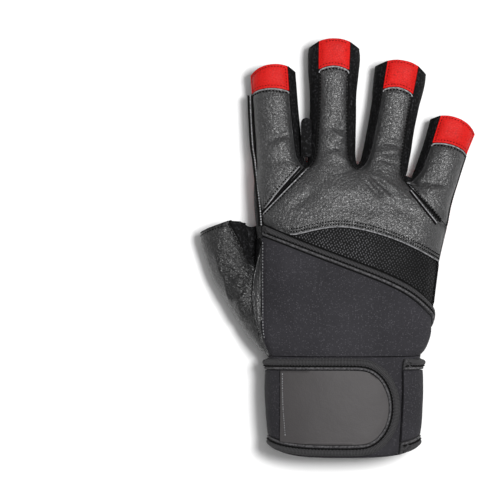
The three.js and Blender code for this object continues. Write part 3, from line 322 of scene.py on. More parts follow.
def mesh_material(name, colour):
    """Pale drops in slanting rows over black"""
    made = Shader(name, colour, 0.7, Specular_IOR_Level=0.12)
    slanting = made.moved((1.0, 0.72, 1.0), (0, 0, math.radians(-33)))
    cells = made.cells(800, randomness=0.35, vector=slanting, voronoi_dimensions="2D")
    drop = made.level(cells.outputs["Distance"], 0.4, 0.2)
    tone = made.level(made.noise(60, 2), 0.3, 0.7, 0.4, 1.1)
    # Painted shade: the pale drops darken from X 5 mm to X 48 mm, down to 0.35 of their tone
    painted_shade_ramp = made.level(made.split()[0], 5 * MM, 48 * MM, 1.0, 0.35)
    pale = made.mix(made.math("MULTIPLY", tone, painted_shade_ramp), shade(colour, 1.5), shade(colour, 26))
    made.link(made.mix(drop, colour, pale), "Base Color")
    made.bump(drop, 0.0005)
    return made


def tape_material(name, colour):
    made = Shader(name, colour, 0.75, Specular_IOR_Level=0.2)
    strip = made.add("ShaderNodeUVMap", uv_map="along").outputs["UV"]
    rib = made.math("SINE", made.math("MULTIPLY", made.split(strip)[0], 2 * math.pi / trim().rib_pitch))
    made.link(made.mix(made.level(rib, -1, 1), shade(colour, 0.6), shade(colour, 1.5)), "Base Color")
    made.bump(rib, 0.0002)
    made.bump(made.noise(1800, 2), 0.00012)
    return made


def vinyl_material(name, colour):
    made = Shader(name, colour, 0.6, Specular_IOR_Level=0.25)
    tone = made.level(made.noise(30, 2), 0.3, 0.7)
    made.link(made.mix(tone, shade(colour, 0.93), shade(colour, 1.08)), "Base Color")
    made.bump(made.noise(260, 3), 0.0002)
    made.bump(made.noise(1600, 2), 0.00008)
    return made


def thread_material(name, colour):
    made = Shader(name, colour, 0.8, Specular_IOR_Level=0.1)
    strand = made.level(made.noise(900, 1), 0.35, 0.65)
    made.link(made.mix(strand, shade(colour, 0.5), shade(colour, 1.4)), "Base Color")
    made.bump(made.noise(3000, 1), 0.0001)
    return made


FINISHES = {}


def finish(kind):
    """The material of a kind, made once"""
    if kind in FINISHES:
        return FINISHES[kind]
    c = colours()
    makers = {
        "charcoal leather": lambda n: leather_material(n, c.leather),
        "thumb leather": lambda n: leather_material(n, shade(c.leather, 0.4), 0.36, 0.6, 0.0004, 0.0009),
        "red leather": lambda n: leather_material(n, c.red_leather, 0.5, 0.12, 0.0002, 0.0002, 0.00004),
        "red suede": lambda n: red_base_material(n, c.red_suede, c.stretch),
        "pad suede": lambda n: suede_material(n, c.pad_suede),
        "thumb suede": lambda n: suede_material(n, shade(c.pad_suede, 0.4)),
        "stretch cloth": lambda n: stretch_material(n, c.stretch),
        "ribbed cloth": lambda n: stretch_material(n, c.stretch, True),
        "spacer mesh": lambda n: mesh_material(n, c.mesh),
        "neoprene": lambda n: neoprene_material(n, c.neoprene),
        "wrist foam": lambda n: suede_material(n, c.wrist_foam),
        "ribbed tape": lambda n: tape_material(n, c.tape),
        "vinyl": lambda n: vinyl_material(n, c.vinyl),
        "black thread": lambda n: thread_material(n, c.thread),
        # Painted highlight: the ridge is modelled, and its colour is the tape's drawn 1.7 times lighter
        "cord": lambda n: thread_material(n, shade(c.tape, 1.7)),
        # Painted highlight on the hem's turned edge, and pale thread of the side and strap seams, in a dimmer
        # share of the pale colour
        "dim edge highlight and pale thread": lambda n: thread_material(n, shade(c.edge_highlight_and_pale_thread, 0.7)),
        "red thread": lambda n: thread_material(n, c.red_thread),
        # Painted highlight: pale cords and dashes along the tabs' edges, the diagonal ridges and the outer
        # piping
        "painted edge highlight": lambda n: thread_material(n, c.edge_highlight_and_pale_thread),
    }
    FINISHES[kind] = makers[kind]("glove " + kind).material
    return FINISHES[kind]


# Panels

OUTER, EDGE, LINING = 0, 1, 2
RIMS = {}
UNLINED = ("ribbed tape", "pad suede", "wrist foam", "vinyl")
SHARP = math.radians(42)
SHARP_TAPE = math.radians(56)
SMOOTH_UNDER = math.radians(50)
SAME_POINT = 0.02 * MM
UNEVEN_SIZE = 11 * MM
UNEVEN_SEED = 3.0


def only(piece):
    """Leaves one object selected and active"""
    bpy.ops.object.select_all(action="DESELECT")
    piece.select_set(True)
    bpy.context.view_layer.objects.active = piece
    return piece


def apply(piece, modifier):
    """Applies a modifier"""
    only(piece)
    bpy.ops.object.modifier_apply(modifier=modifier.name)


def nearest_in(box, point):
    """The point of a box that is nearest to a point"""
    low, high = box
    return Vector(min(max(value, low[i]), high[i]) for i, value in enumerate(point))


def from_inside(point):
    """The way from the nearest hollow for the hand to a point"""
    return min((point - nearest_in(box, point) for box in HOLLOWS), key=lambda way: way.length)


def sort_faces(mesh, sharp):
    """Marks the outer side, the edge and the lining of a wall, and creases the edges between them"""
    mesh.calc_loop_triangles()
    faces = mesh.polygons
    owners = {}
    for face in faces:
        for key in face.edge_keys:
            owners.setdefault(key, []).append(face.index)
    soft = [[] for _ in faces]
    creased = set()
    for key, pair in owners.items():
        if len(pair) == 2 and faces[pair[0]].normal.angle(faces[pair[1]].normal, 0) < sharp:
            soft[pair[0]].append(pair[1])
            soft[pair[1]].append(pair[0])
        else:
            creased.add(key)
    group = [-1] * len(faces)
    groups = []
    for start in range(len(faces)):
        if group[start] >= 0:
            continue
        group[start] = len(groups)
        members = [start]
        for index in members:
            for other in soft[index]:
                if group[other] < 0:
                    group[other] = len(groups)
                    members.append(other)
        groups.append(members)
    areas = [sum(faces[i].area for i in members) for members in groups]
    largest = sorted(range(len(groups)), key=lambda g: -areas[g])[:2]

    def facing(g):
        return sum(faces[i].area * faces[i].normal.dot(from_inside(faces[i].center)) for i in groups[g])

    outer = max(largest, key=facing)
    for g, members in enumerate(groups):
        side = OUTER if g == outer else LINING if g in largest else EDGE
        for i in members:
            faces[i].material_index = side
    crease = mesh.attributes.new("crease_edge", "FLOAT", "EDGE")
    values = [1.0 if tuple(sorted(edge.vertices)) in creased else 0.0 for edge in mesh.edges]
    crease.data.foreach_set("value", values)


def of_points(mesh, what):
    """Three numbers of each point: where it is, or its normal"""
    values = np.empty(len(mesh.vertices) * 3)
    mesh.vertices.foreach_get(what, values)
    return values.reshape(-1, 3)


def corners_of(mesh):
    """The point at each corner of each face"""
    values = np.empty(len(mesh.loops), int)
    mesh.loops.foreach_get("vertex_index", values)
    return values


def sides(mesh):
    """The side of each face, and masks of the points on the outer side and on its rim"""
    side = np.empty(len(mesh.polygons), int)
    mesh.polygons.foreach_get("material_index", side)
    corner = corners_of(mesh)
    total = np.empty(len(mesh.polygons), int)
    mesh.polygons.foreach_get("loop_total", total)
    of_corner = np.repeat(side, total)
    outer = np.zeros(len(mesh.vertices), bool)
    other = np.zeros(len(mesh.vertices), bool)
    outer[corner[of_corner == OUTER]] = True
    other[corner[of_corner != OUTER]] = True
    return side, outer, outer & other


def distances(points, rim):
    """How far each point is from the rim"""
    tree = KDTree(len(rim))
    for i, point in enumerate(rim):
        tree.insert(point, i)
    tree.balance()
    return np.array([tree.find(point)[2] for point in points])


def fold_height(points):
    """Height of the leather's folds over points of the back, in metres"""
    height = np.zeros(len(points))
    for fold in FOLDS:
        turn = math.radians(fold["turn"])
        x = points[:, 0] - fold["x"] * MM
        y = points[:, 1] - fold["y"] * MM
        along = (x * math.cos(turn) + y * math.sin(turn)) / (fold["long"] * MM / 2)
        across = (y * math.cos(turn) - x * math.sin(turn)) / (fold["wide"] * MM)
        height += fold["high"] * MM * np.exp(-(across**2) - along**4)
    return height


def unevenness(points):
    """Smooth noise between -1 and 1 over points"""
    seed = Vector((UNEVEN_SEED, 0, 0))
    return np.array([noise.noise(Vector(point) / UNEVEN_SIZE + seed) for point in points])


def smooth_copy(node, kind, levels, sharp):
    """Copies a panel of the model in its material and makes it smooth between its sharp edges"""
    only(frame["nodes"][node])
    bpy.ops.object.duplicate()
    piece = bpy.context.view_layer.objects.active
    piece.name = "sewn_" + node
    piece.parent = None
    only(piece)
    bpy.ops.object.mode_set(mode="EDIT")
    bpy.ops.mesh.select_all(action="SELECT")
    bpy.ops.mesh.remove_doubles(threshold=SAME_POINT)
    bpy.ops.mesh.tris_convert_to_quads(face_threshold=math.radians(30), shape_threshold=math.radians(70))
    bpy.ops.object.mode_set(mode="OBJECT")
    mesh = piece.data
    mesh.materials.clear()
    for _ in range(3):
        mesh.materials.append(finish(kind))
    if kind not in UNLINED:
        mesh.materials[LINING] = finish("stretch cloth")
    sort_faces(mesh, sharp)
    smooth = piece.modifiers.new("smooth", "SUBSURF")
    smooth.levels = smooth.render_levels = levels
    apply(piece, smooth)
    return piece


def tailor(node, kind, levels=3, seam=1.0, folds=0.0, uneven=0.0, puff=0.0, sharp=SHARP):
    """Makes a panel of the model cloth or leather that dips at its seams and has folds"""
    piece = smooth_copy(node, kind, levels, sharp)
    mesh = piece.data
    _, outer, rim = sides(mesh)
    points = of_points(mesh, "co")
    out = of_points(mesh, "normal")
    moved = outer & ~rim
    depth = np.zeros(len(points))
    gap = distances(points[outer], points[rim])
    depth[outer] -= seam * trim().seam_depth * np.exp(-((gap / trim().seam_width) ** 2))
    depth[outer] += puff * (1 - np.exp(-gap / (2 * trim().seam_width)))
    inner_share = np.clip(gap / (2 * trim().seam_width), 0, 1)
    if folds:
        depth[outer] += folds * fold_height(points[outer]) * inner_share
    if uneven:
        depth[outer] += uneven * unevenness(points[outer]) * inner_share
    if rim.any() and moved.any():
        edge = KDTree(int(moved.sum()))
        for i in np.flatnonzero(moved):
            edge.insert(points[i], int(i))
        edge.balance()
        for i in np.flatnonzero(rim):
            out[i] = out[edge.find(points[i])[1]]
    points += out * depth[:, None]
    mesh.vertices.foreach_set("co", points.ravel())
    mesh.update()
    bpy.ops.object.shade_smooth_by_angle(angle=SMOOTH_UNDER)
    RIMS[node] = rim_loops(node)
    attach(piece, "root")
    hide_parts(node)
    return piece


# Lines along the panels

# How near a rim lies to the panel beside it, and the steps of lines along rims and of lines drawn in the plan
REACH = 2.1 * MM
RIM_STEP = 1.1 * MM
PLAN_STEP = 1.2 * MM


def rim_loops(node):
    """Closed lines of points round the outer side of a tailored panel"""
    mesh = bpy.data.objects["sewn_" + node].data
    side, _, _ = sides(mesh)
    after = {}
    taken = set()
    for face in mesh.polygons:
        if side[face.index] == OUTER:
            corners = list(face.vertices)
            for i, a in enumerate(corners):
                taken.add((a, corners[(i + 1) % len(corners)]))
    for a, b in taken:
        if (b, a) not in taken:
            after[a] = b
    loops = []
    while after:
        start, at = after.popitem()
        loop = [start]
        while at != start and at in after:
            loop.append(at)
            at = after.pop(at)
        loops.append([mesh.vertices[i].co.copy() for i in loop])
    return loops


def surface_of(*nodes):
    """A tree for the outer sides of some tailored panels"""
    points, faces = [], []
    for node in nodes:
        mesh = bpy.data.objects["sewn_" + node].data
        start = len(points)
        points += [vertex.co.copy() for vertex in mesh.vertices]
        outer = [face for face in mesh.polygons if face.material_index == OUTER]
        faces += [[start + i for i in face.vertices] for face in outer]
    return BVHTree.FromPolygons(points, faces)


def spaced(points, step):
    """The line again with points at an even step"""
    line = np.array([tuple(p) for p in points])
    length = np.concatenate([[0], np.cumsum(np.linalg.norm(np.diff(line, axis=0), axis=1))])
    count = max(int(round(length[-1] / step)), 2)
    at = np.linspace(0, length[-1], count + 1)
    return [Vector(np.array([np.interp(a, length, line[:, k]) for k in range(3)])) for a in at]


def seam_line(node, beside, inset, lift=0.0, on=None, free=False, ends=0.0):
    """The longest line along a panel's rim where it lies beside other panels, or where it is free of them

    The line is moved into the panel by the inset and laid on it, or on the panels named in on.
    """
    near = KDTree(sum(len(loop) for other in beside for loop in RIMS[other]))
    for other in beside:
        for loop in RIMS[other]:
            for point in loop:
                near.insert(point, 0)
    near.balance()
    best = []
    for loop in RIMS[node]:
        kept = [(near.find(point)[2] < REACH) != free for point in loop]
        if not any(kept):
            continue
        first = 0 if all(kept) else kept.index(False)
        loop = loop[first:] + loop[:first + 1]
        kept = kept[first:] + kept[:first + 1]
        run = []
        for point, wanted in zip(loop, kept):
            run = run + [point] if wanted else []
            if len(run) > len(best):
                best = run
    if len(best) < 3:
        raise RuntimeError(f"the rim of {node} has no such stretch")
    surface = surface_of(*(on or (node,)))
    line = spaced(best, RIM_STEP)
    made = []
    for i, point in enumerate(line):
        forward = (line[min(i + 1, len(line) - 1)] - line[max(i - 1, 0)]).normalized()
        _, normal, _, _ = surface.find_nearest(point)
        inward = normal.cross(forward).normalized()
        spot, normal, _, _ = surface.find_nearest(point + inward * inset)
        made.append(spot + normal * lift)
    cut = int(round(ends / RIM_STEP))
    return eased(made[cut:len(made) - cut] if cut else made)


def eased(line, rounds=2):
    """A line with its small kinks smoothed away"""
    for _ in range(rounds):
        line = [line[0]] + [
            (line[i - 1] + line[i] * 2 + line[i + 1]) / 4 for i in range(1, len(line) - 1)
        ] + [line[-1]]
    return line


def drawn_line(points, nodes, lift):
    """A smooth line through points of the plan in millimetres, laid on the outer side of panels from above"""
    surface = surface_of(*nodes)
    path = smooth_path([Vector((x * MM, y * MM, 0)) for x, y in points])
    made = []
    for point in spaced(path, PLAN_STEP):
        spot, normal, _, _ = surface.ray_cast(point + Vector((0, 0, 0.1)), Vector((0, 0, -1)))
        if spot is not None:
            made.append(spot + normal * lift)
    return eased(made)


def shifted(line, away):
    """A line of the plan moved to its left by a distance in millimetres"""
    made = []
    for i, (x, y) in enumerate(line):
        ahead = line[min(i + 1, len(line) - 1)]
        behind = line[max(i - 1, 0)]
        way = Vector((ahead[0] - behind[0], ahead[1] - behind[1])).normalized()
        made.append((x - way.y * away, y + way.x * away))
    return made


def smooth_path(points, parts=8):
    """A Catmull-Rom line through points"""
    made = []
    for i in range(len(points) - 1):
        a = points[max(i - 1, 0)]
        b, c = points[i], points[i + 1]
        d = points[min(i + 2, len(points) - 1)]
        for k in range(parts):
            t = k / parts
            squared = (2 * a - 5 * b + 4 * c - d) * t**2
            cubed = (3 * b - a - 3 * c + d) * t**3
            made.append(0.5 * (2 * b + (c - a) * t + squared + cubed))
    return made + [points[-1]]


def guide(name, line, thickness=0.0):
    """A curve object along a line of points"""
    data = bpy.data.curves.new(name, "CURVE")
    data.dimensions = "3D"
    data.twist_mode = "MINIMUM"
    data.bevel_depth = thickness / 2
    data.bevel_resolution = 4 if thickness > 2 * MM else 1
    data.use_fill_caps = thickness > 0
    spline = data.splines.new("POLY")
    spline.points.add(len(line) - 1)
    for point, place in zip(spline.points, line):
        point.co = (*place, 1)
    made = bpy.data.objects.new(name, data)
    bpy.context.collection.objects.link(made)
    return made


def joined(name, parts, kind):
    """Joins meshes into one piece at the origin that rides on the glove"""
    bpy.ops.object.select_all(action="DESELECT")
    for part in parts:
        part.select_set(True)
    bpy.context.view_layer.objects.active = parts[0]
    if len(parts) > 1:
        bpy.ops.object.join()
    piece = bpy.context.view_layer.objects.active
    piece.name = piece.data.name = name
    only(piece)
    bpy.ops.object.transform_apply(location=True, rotation=True, scale=True)
    piece.data.materials.clear()
    piece.data.materials.append(finish(kind))
    bpy.ops.object.shade_smooth()
    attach(piece, "root")
    return piece


def piping(name, lines, kind, slot, thickness):
    """Round cords along lines"""
    parts = []
    for i, line in enumerate(lines):
        cord = only(guide(f"{name}_{i}", line, thickness))
        bpy.ops.object.convert(target="MESH")
        parts.append(cord)
    return joined(name, parts, kind)


# Height of a stitch over its width, and how far along its length the first one starts
STITCH_HEIGHT = 0.85
STITCH_START = 0.55


def stitches(name, lines, kind, slot, pitch=None, length=None, width=None):
    """A row of stitches along each line: one stitch is modelled, repeated and bent along it"""
    pitch = pitch or trim().stitch_pitch
    length = length or trim().stitch_length
    width = width or trim().stitch_width
    parts = []
    for i, line in enumerate(lines):
        reach = sum((b - a).length for a, b in zip(line, line[1:]))
        count = int((reach - length) // pitch) + 1
        if count < 1:
            continue
        bpy.ops.object.select_all(action="DESELECT")
        bpy.ops.mesh.primitive_uv_sphere_add(segments=8, ring_count=5, radius=0.5)
        stitch = bpy.context.view_layer.objects.active
        stitch.name = f"{name}_{i}"
        bpy.ops.transform.rotate(value=math.pi / 2, orient_axis="Y", center_override=(0, 0, 0))
        stitch.scale = (width * STITCH_HEIGHT, width, length)
        bpy.ops.object.transform_apply(location=True, rotation=True, scale=True)
        bpy.ops.transform.translate(value=(length * STITCH_START, 0, 0))
        bpy.ops.object.transform_apply(location=True, rotation=True, scale=True)
        row = stitch.modifiers.new("row", "ARRAY")
        row.use_relative_offset = False
        row.use_constant_offset = True
        row.constant_offset_displace = (pitch, 0, 0)
        row.count = count
        apply(stitch, row)
        path = guide("path", line)
        bend = stitch.modifiers.new("bend", "CURVE")
        bend.object = path
        bend.deform_axis = "POS_X"
        apply(stitch, bend)
        bpy.data.objects.remove(path)
        parts.append(stitch)
    return joined(name, parts, kind)


def lay_along(piece, line):
    """Gives a strip a UV map whose first number runs along a line, in metres"""
    mesh = piece.data
    tree = KDTree(len(line))
    length = [0.0]
    for a, b in zip(line, line[1:]):
        length.append(length[-1] + (b - a).length)
    for i, point in enumerate(line):
        tree.insert(point, i)
    tree.balance()
    at = []
    for vertex in mesh.vertices:
        place, i, _ = tree.find(vertex.co)
        ahead = line[min(i + 1, len(line) - 1)] - line[max(i - 1, 0)]
        at.append(length[i] + (vertex.co - place).dot(ahead.normalized()))
    layer = mesh.uv_layers.new(name="along")
    corner = corners_of(mesh)
    values = np.zeros((len(corner), 2))
    values[:, 0] = np.array(at)[corner]
    layer.data.foreach_set("uv", values.ravel())


class GloveStep(bpy.types.Operator):
    """Base of the glove's steps"""

    bl_options = {"REGISTER", "UNDO"}


FINGER_PADS = [finger + place for finger in FINGERS for place in ("_upper_pad", "_lower_pad")]
PADS = (*FINGER_PADS, "upper_palm_pad", "crescent_pad", "heel_pad")


class GLOVE_OT_leather(GloveStep):
    """Leather of the back, the thumb and the side strip"""

    bl_idname = "glove.leather"
    bl_label = "Leather back"

    def execute(self, context):
        for node in ("hand_back", "index_back", "little_back", "thumb_back"):
            kind = "thumb leather" if node == "thumb_back" else "charcoal leather"
            tailor(node, kind, folds=1.9, uneven=0.0004, puff=0.0013)
        tailor("side_strip", "charcoal leather", uneven=0.0002)
        return {"FINISHED"}


class GLOVE_OT_tabs(GloveStep):
    """Red tabs at the fingers' ends"""

    bl_idname = "glove.tabs"
    bl_label = "Red tabs"

    def execute(self, context):
        for finger in FINGERS:
            tailor(finger + "_tab", "red leather", uneven=0.0003)
        return {"FINISHED"}


class GLOVE_OT_cloth(GloveStep):
    """Stretch cloth between the fingers, at the thumb and under the fingers, and the hems"""

    bl_idname = "glove.cloth"
    bl_label = "Stretch cloth"

    def execute(self, context):
        for node in GUSSETS:
            tailor(node, "stretch cloth", levels=2, uneven=0.0003)
        for finger in FINGERS:
            tailor(finger + "_front", "ribbed cloth", levels=2, uneven=0.0002)
            tailor(finger + "_hem", "pad suede", levels=2)
        tailor("pull_tab", "stretch cloth", levels=2, seam=0.3)
        return {"FINISHED"}


class GLOVE_OT_back_cloth(GloveStep):
    """Mesh and neoprene across the back of the hand"""

    bl_idname = "glove.back_cloth"
    bl_label = "Mesh and neoprene"

    def execute(self, context):
        tailor("mesh_panel", "spacer mesh", uneven=0.0003, seam=0.6)
        tailor("neoprene_panel", "neoprene", uneven=0.0005, seam=0.9)
        tailor("cuff", "neoprene", levels=2, uneven=0.0003, seam=0.4)
        return {"FINISHED"}


class GLOVE_OT_palm(GloveStep):
    """Base, pads and trim of the palm"""

    bl_idname = "glove.palm"
    bl_label = "Palm"

    def execute(self, context):
        tailor("palm_base", "red suede", levels=2, uneven=0.0002)
        tailor("thumb_front", "thumb suede", levels=2, uneven=0.0004)
        for node in PADS:
            tailor(node, "pad suede", levels=2, seam=0.9, uneven=0.0003)
        tailor("thumb_crotch_patch", "pad suede", levels=2, seam=0.4)
        tailor("palm_piping", "red leather", levels=2, seam=0.2)
        tailor("wrist_patch", "wrist foam", levels=2, seam=0.8, uneven=0.0004)
        return {"FINISHED"}


class GLOVE_OT_strap(GloveStep):
    """Wrist strap and its bare end patch"""

    bl_idname = "glove.strap"
    bl_label = "Wrist strap"

    def execute(self, context):
        tailor("wrist_strap", "neoprene", seam=0.3, uneven=0.0002)
        tailor("strap_patch", "vinyl", seam=0.25, uneven=0.0002)
        return {"FINISHED"}


class GLOVE_OT_bindings(GloveStep):
    """Ribbed tape over the bound edges"""

    bl_idname = "glove.bindings"
    bl_label = "Bound edges"

    def execute(self, context):
        for node in ("edge_binding", "strap_binding", "wrist_patch_binding"):
            piece = tailor(node, "ribbed tape", seam=0.5, sharp=SHARP_TAPE)
            loop = max(RIMS[node], key=len)
            lay_along(piece, spaced(loop + loop[:1], 1 * MM))
        return {"FINISHED"}


def back_of(finger):
    """The leather panel that covers a finger"""
    return finger + "_back" if finger in ("index", "little") else "hand_back"


GUSSETS = {
    "gusset_index_middle": ("index_back", "hand_back"),
    "gusset_middle_ring": ("hand_back",),
    "gusset_ring_little": ("hand_back", "little_back"),
    "thumb_gusset": ("thumb_back", "side_strip"),
}
FINGER_GUSSETS = [node for node in GUSSETS if node != "thumb_gusset"]
UNDERSIDES = ("palm_base", "index_front", "little_front")

# The raised edges of the two diagonal seams, in millimetres of the plan, from the gap between two fingers
INDEX_RIDGE = [(-21.7, 45.0), (-32.2, 33.0), (-40.9, 21.9)]
LITTLE_RIDGE = [(40.6, 31.8), (48.6, 21.6), (55.2, 13.6)]

# Points x, y, z in millimetres along the index finger's outer piping, and down the web's two sides
INDEX_PIPING = [
    (-49.1, 85.5, 17.0), (-48.8, 75.0, 17.0), (-47.7, 57.0, 18.0), (-46.5, 49.0, 19.5), (-45.0, 35.0, 23.5),
    (-43.4, 20.0, 27.0), (-42.9, 12.0, 28.2),
]
WEB_THUMB = [(-49.6, -5.0, 15.0), (-50.6, 2.0, 15.0), (-51.6, 8.0, 15.0), (-53.4, 13.4, 15.0)]
WEB_HAND = [(-46.6, -5.0, 16.0), (-45.6, 1.0, 16.0), (-45.4, 6.5, 16.0), (-45.6, 12.0, 16.0)]

# Points x, y in millimetres along the patch's sewn end and the strap's cross seam
PATCH_SEAM = [(-31.2, -70.0), (-30.9, -88.0), (-29.5, -106.0)]
STRAP_SEAM = [(31.8, -68.8), (34.6, -88.0), (33.8, -106.6)]


class GLOVE_OT_tab_stitches(GloveStep):
    """Rows of stitches on the tabs and on the leather below them"""

    bl_idname = "glove.tab_stitches"
    bl_label = "Tab stitches"

    def execute(self, context):
        red_rows, black_rows, edges = [], [], []
        for finger in FINGERS:
            tab, back = finger + "_tab", back_of(finger)
            around = [back, finger + "_front", *FINGER_GUSSETS]
            red_rows.append(seam_line(tab, (back,), 1.5 * MM, 0.1 * MM, ends=0.8 * MM))
            red_rows.append(seam_line(tab, around, 1.3 * MM, 0.1 * MM, free=True))
            edges.append(seam_line(back, (tab,), 0.3 * MM, 0.25 * MM))
            black_rows.append(seam_line(back, (tab,), 1.5 * MM, 0.1 * MM, ends=0.8 * MM))
        stitches("tab_red_stitches", red_rows, "red thread", "red_leather", width=0.5 * MM)
        broad = (1.9 * MM, 1.4 * MM, 1 * MM)
        stitches("tab_black_stitches", black_rows, "black thread", "charcoal_leather", *broad)
        # Painted highlight: pale cords along the leather's edge just under each tab
        piping("tab_edge_highlights", edges, "painted edge highlight", "charcoal_leather", trim().piping)
        return {"FINISHED"}


class GLOVE_OT_palm_stitches(GloveStep):
    """Rows of stitches round the pads of the palm and the fingers"""

    bl_idname = "glove.palm_stitches"
    bl_label = "Palm stitches"

    def execute(self, context):
        rows = [seam_line(node, ("cuff",), 1.2 * MM, 0.1 * MM, free=True) for node in PADS]
        stitches("pad_stitches", rows, "black thread", "pad_suede", 2.2 * MM, 1.5 * MM, 0.7 * MM)
        return {"FINISHED"}


class GLOVE_OT_finger_seams(GloveStep):
    """Dark seams and stitches between the leather and the cloth at the fingers' sides and the thumb"""

    bl_idname = "glove.finger_seams"
    bl_label = "Finger seams"

    def execute(self, context):
        seams = [seam_line(gusset, backs, 0.0, -0.15 * MM) for gusset, backs in GUSSETS.items()]
        rows = [seam_line(gusset, backs, -1.25 * MM, 0.1 * MM, on=backs) for gusset, backs in GUSSETS.items()]
        around = ("thumb_front", "thumb_gusset", "palm_base", "side_strip", "cuff", "strap_binding")
        rows.append(seam_line("thumb_back", around, 2.0 * MM, 0.1 * MM, free=True, ends=1 * MM))
        piping("finger_seam_cords", seams, "black thread", "charcoal_leather", 1.2 * MM)
        stitches("finger_seam_stitches", rows, "black thread", "charcoal_leather", width=0.75 * MM)
        return {"FINISHED"}


class GLOVE_OT_diagonal_seams(GloveStep):
    """Ridges with painted highlights, troughs with painted shade, and stitches of the two diagonal seams
    across the knuckles
    """

    bl_idname = "glove.diagonal_seams"
    bl_label = "Diagonal seams"

    def execute(self, context):
        index_seam = seam_line("hand_back", ("index_back",), 0.4 * MM, 0.12 * MM)
        little_seam = seam_line("little_back", ("hand_back",), 0.4 * MM, 0.12 * MM)
        index_ridge = drawn_line(INDEX_RIDGE, ("index_back",), 0.12 * MM)
        little_ridge = drawn_line(LITTLE_RIDGE, ("hand_back",), 0.12 * MM)
        ridges = [index_seam, little_seam, index_ridge, little_ridge]
        # Painted highlight: pale cords on the seams' raised edges
        piping("diagonal_ridge_highlights", ridges, "painted edge highlight", "charcoal_leather", 0.55 * MM)
        # Painted shade: black cords laid in the troughs beside the raised edges
        troughs = [
            seam_line("index_back", ("hand_back",), 0.6 * MM, -0.1 * MM),
            seam_line("hand_back", ("little_back",), 0.6 * MM, -0.1 * MM),
            drawn_line(shifted(INDEX_RIDGE, 0.8), ("index_back",), -0.1 * MM),
            drawn_line(shifted(LITTLE_RIDGE, -0.8), ("hand_back",), -0.1 * MM),
        ]
        piping("diagonal_trough_shades", troughs, "black thread", "charcoal_leather", 1.4 * MM)
        rows = [
            seam_line("hand_back", ("index_back",), 1.5 * MM, 0.1 * MM, ends=1 * MM),
            seam_line("little_back", ("hand_back",), 1.5 * MM, 0.1 * MM, ends=1 * MM),
            drawn_line(shifted(INDEX_RIDGE, -1.1), ("index_back",), 0.1 * MM),
            drawn_line(shifted(LITTLE_RIDGE, 1.1), ("hand_back",), 0.1 * MM),
        ]
        stitches("diagonal_stitches", rows, "black thread", "charcoal_leather", width=0.85 * MM)
        return {"FINISHED"}


class GLOVE_OT_outer_seams(GloveStep):
    """Piping down the outer sides of the index and little fingers and down the side seam, with pale dashes of
    painted highlight along the outer sides
    """

    bl_idname = "glove.outer_seams"
    bl_label = "Outer seams"

    def execute(self, context):
        def line_at(away):
            """The index finger's piping line, moved away by millimetres"""
            edge = [(Vector(point) + Vector(away)) * MM for point in INDEX_PIPING]
            return eased(spaced(smooth_path(edge), RIM_STEP))

        index = line_at((0, 0, 0))
        little = seam_line("little_back", UNDERSIDES, 0.5 * MM, 0.7 * MM)
        black = [
            line_at((1.1, 0, -0.4)),
            line_at((-0.9, 0, -1.0)),
            seam_line("little_back", UNDERSIDES, -0.6 * MM, 0.0),
            seam_line("little_back", UNDERSIDES, 1.6 * MM, 0.1 * MM),
            seam_line("mesh_panel", UNDERSIDES, 0.0, 0.2 * MM),
            seam_line("hand_back", ("palm_base",), 0.0, 0.0),
        ]
        piping("outer_seam_cords", black, "black thread", "charcoal_leather", 1.4 * MM)
        close = (1.5 * MM, 1.3 * MM, 0.8 * MM)
        # Painted highlight: pale dashes along the index and little fingers' outer piping
        stitches("outer_seam_highlight_dashes", [index, little], "painted edge highlight", "charcoal_leather", *close)
        side = [seam_line("neoprene_panel", ("side_strip",), 0.5 * MM, 0.1 * MM)]
        stitches("side_seam_stitches", side, "dim edge highlight and pale thread", "neoprene", 1.7 * MM, 1.2 * MM, 0.6 * MM)
        return {"FINISHED"}


class GLOVE_OT_thumb_web(GloveStep):
    """Black cloth stretched between the thumb and the hand"""

    bl_idname = "glove.thumb_web"
    bl_label = "Thumb web"

    def execute(self, context):
        bpy.ops.object.select_all(action="DESELECT")
        bpy.ops.mesh.primitive_grid_add(x_subdivisions=12, y_subdivisions=16, size=1, location=(0, 0, 0))
        web = context.view_layer.objects.active
        web.name = web.data.name = "thumb_web"
        thumb = smooth_path([Vector(point) * MM for point in WEB_THUMB])
        hand = smooth_path([Vector(point) * MM for point in WEB_HAND])
        for vertex in web.data.vertices:
            across, along = vertex.co.x + 0.5, vertex.co.y + 0.5
            place = along * (len(thumb) - 1)
            i = min(int(place), len(thumb) - 2)
            start = thumb[i].lerp(thumb[i + 1], place - i)
            end = hand[i].lerp(hand[i + 1], place - i)
            bow = math.sin(math.pi * across)
            vertex.co = start.lerp(end, across) - Vector((0, 1.2, 2.0)) * MM * bow * along
        thick = web.modifiers.new("thick", "SOLIDIFY")
        thick.thickness = 1.2 * MM
        thick.offset = 0
        apply(web, thick)
        joined("thumb_web", [web], "stretch cloth")
        return {"FINISHED"}


class GLOVE_OT_hem(GloveStep):
    """Turned edge with a painted highlight, and two rows of stitches of the leather over the mesh"""

    bl_idname = "glove.hem"
    bl_label = "Hem over the mesh"

    def execute(self, context):
        edge = seam_line("hand_back", ("mesh_panel",), 0.35 * MM, 0.1 * MM)
        rows = [seam_line("hand_back", ("mesh_panel",), inset * MM, 0.2 * MM) for inset in (1.8, 3.5)]
        # Painted highlight: a pale cord along the leather's turned edge over the mesh
        piping("hem_edge_highlight", [edge], "dim edge highlight and pale thread", "charcoal_leather", 0.9 * MM)
        stitches("hem_stitches", rows, "black thread", "charcoal_leather", 1.5 * MM, 1.05 * MM, 0.8 * MM)
        return {"FINISHED"}


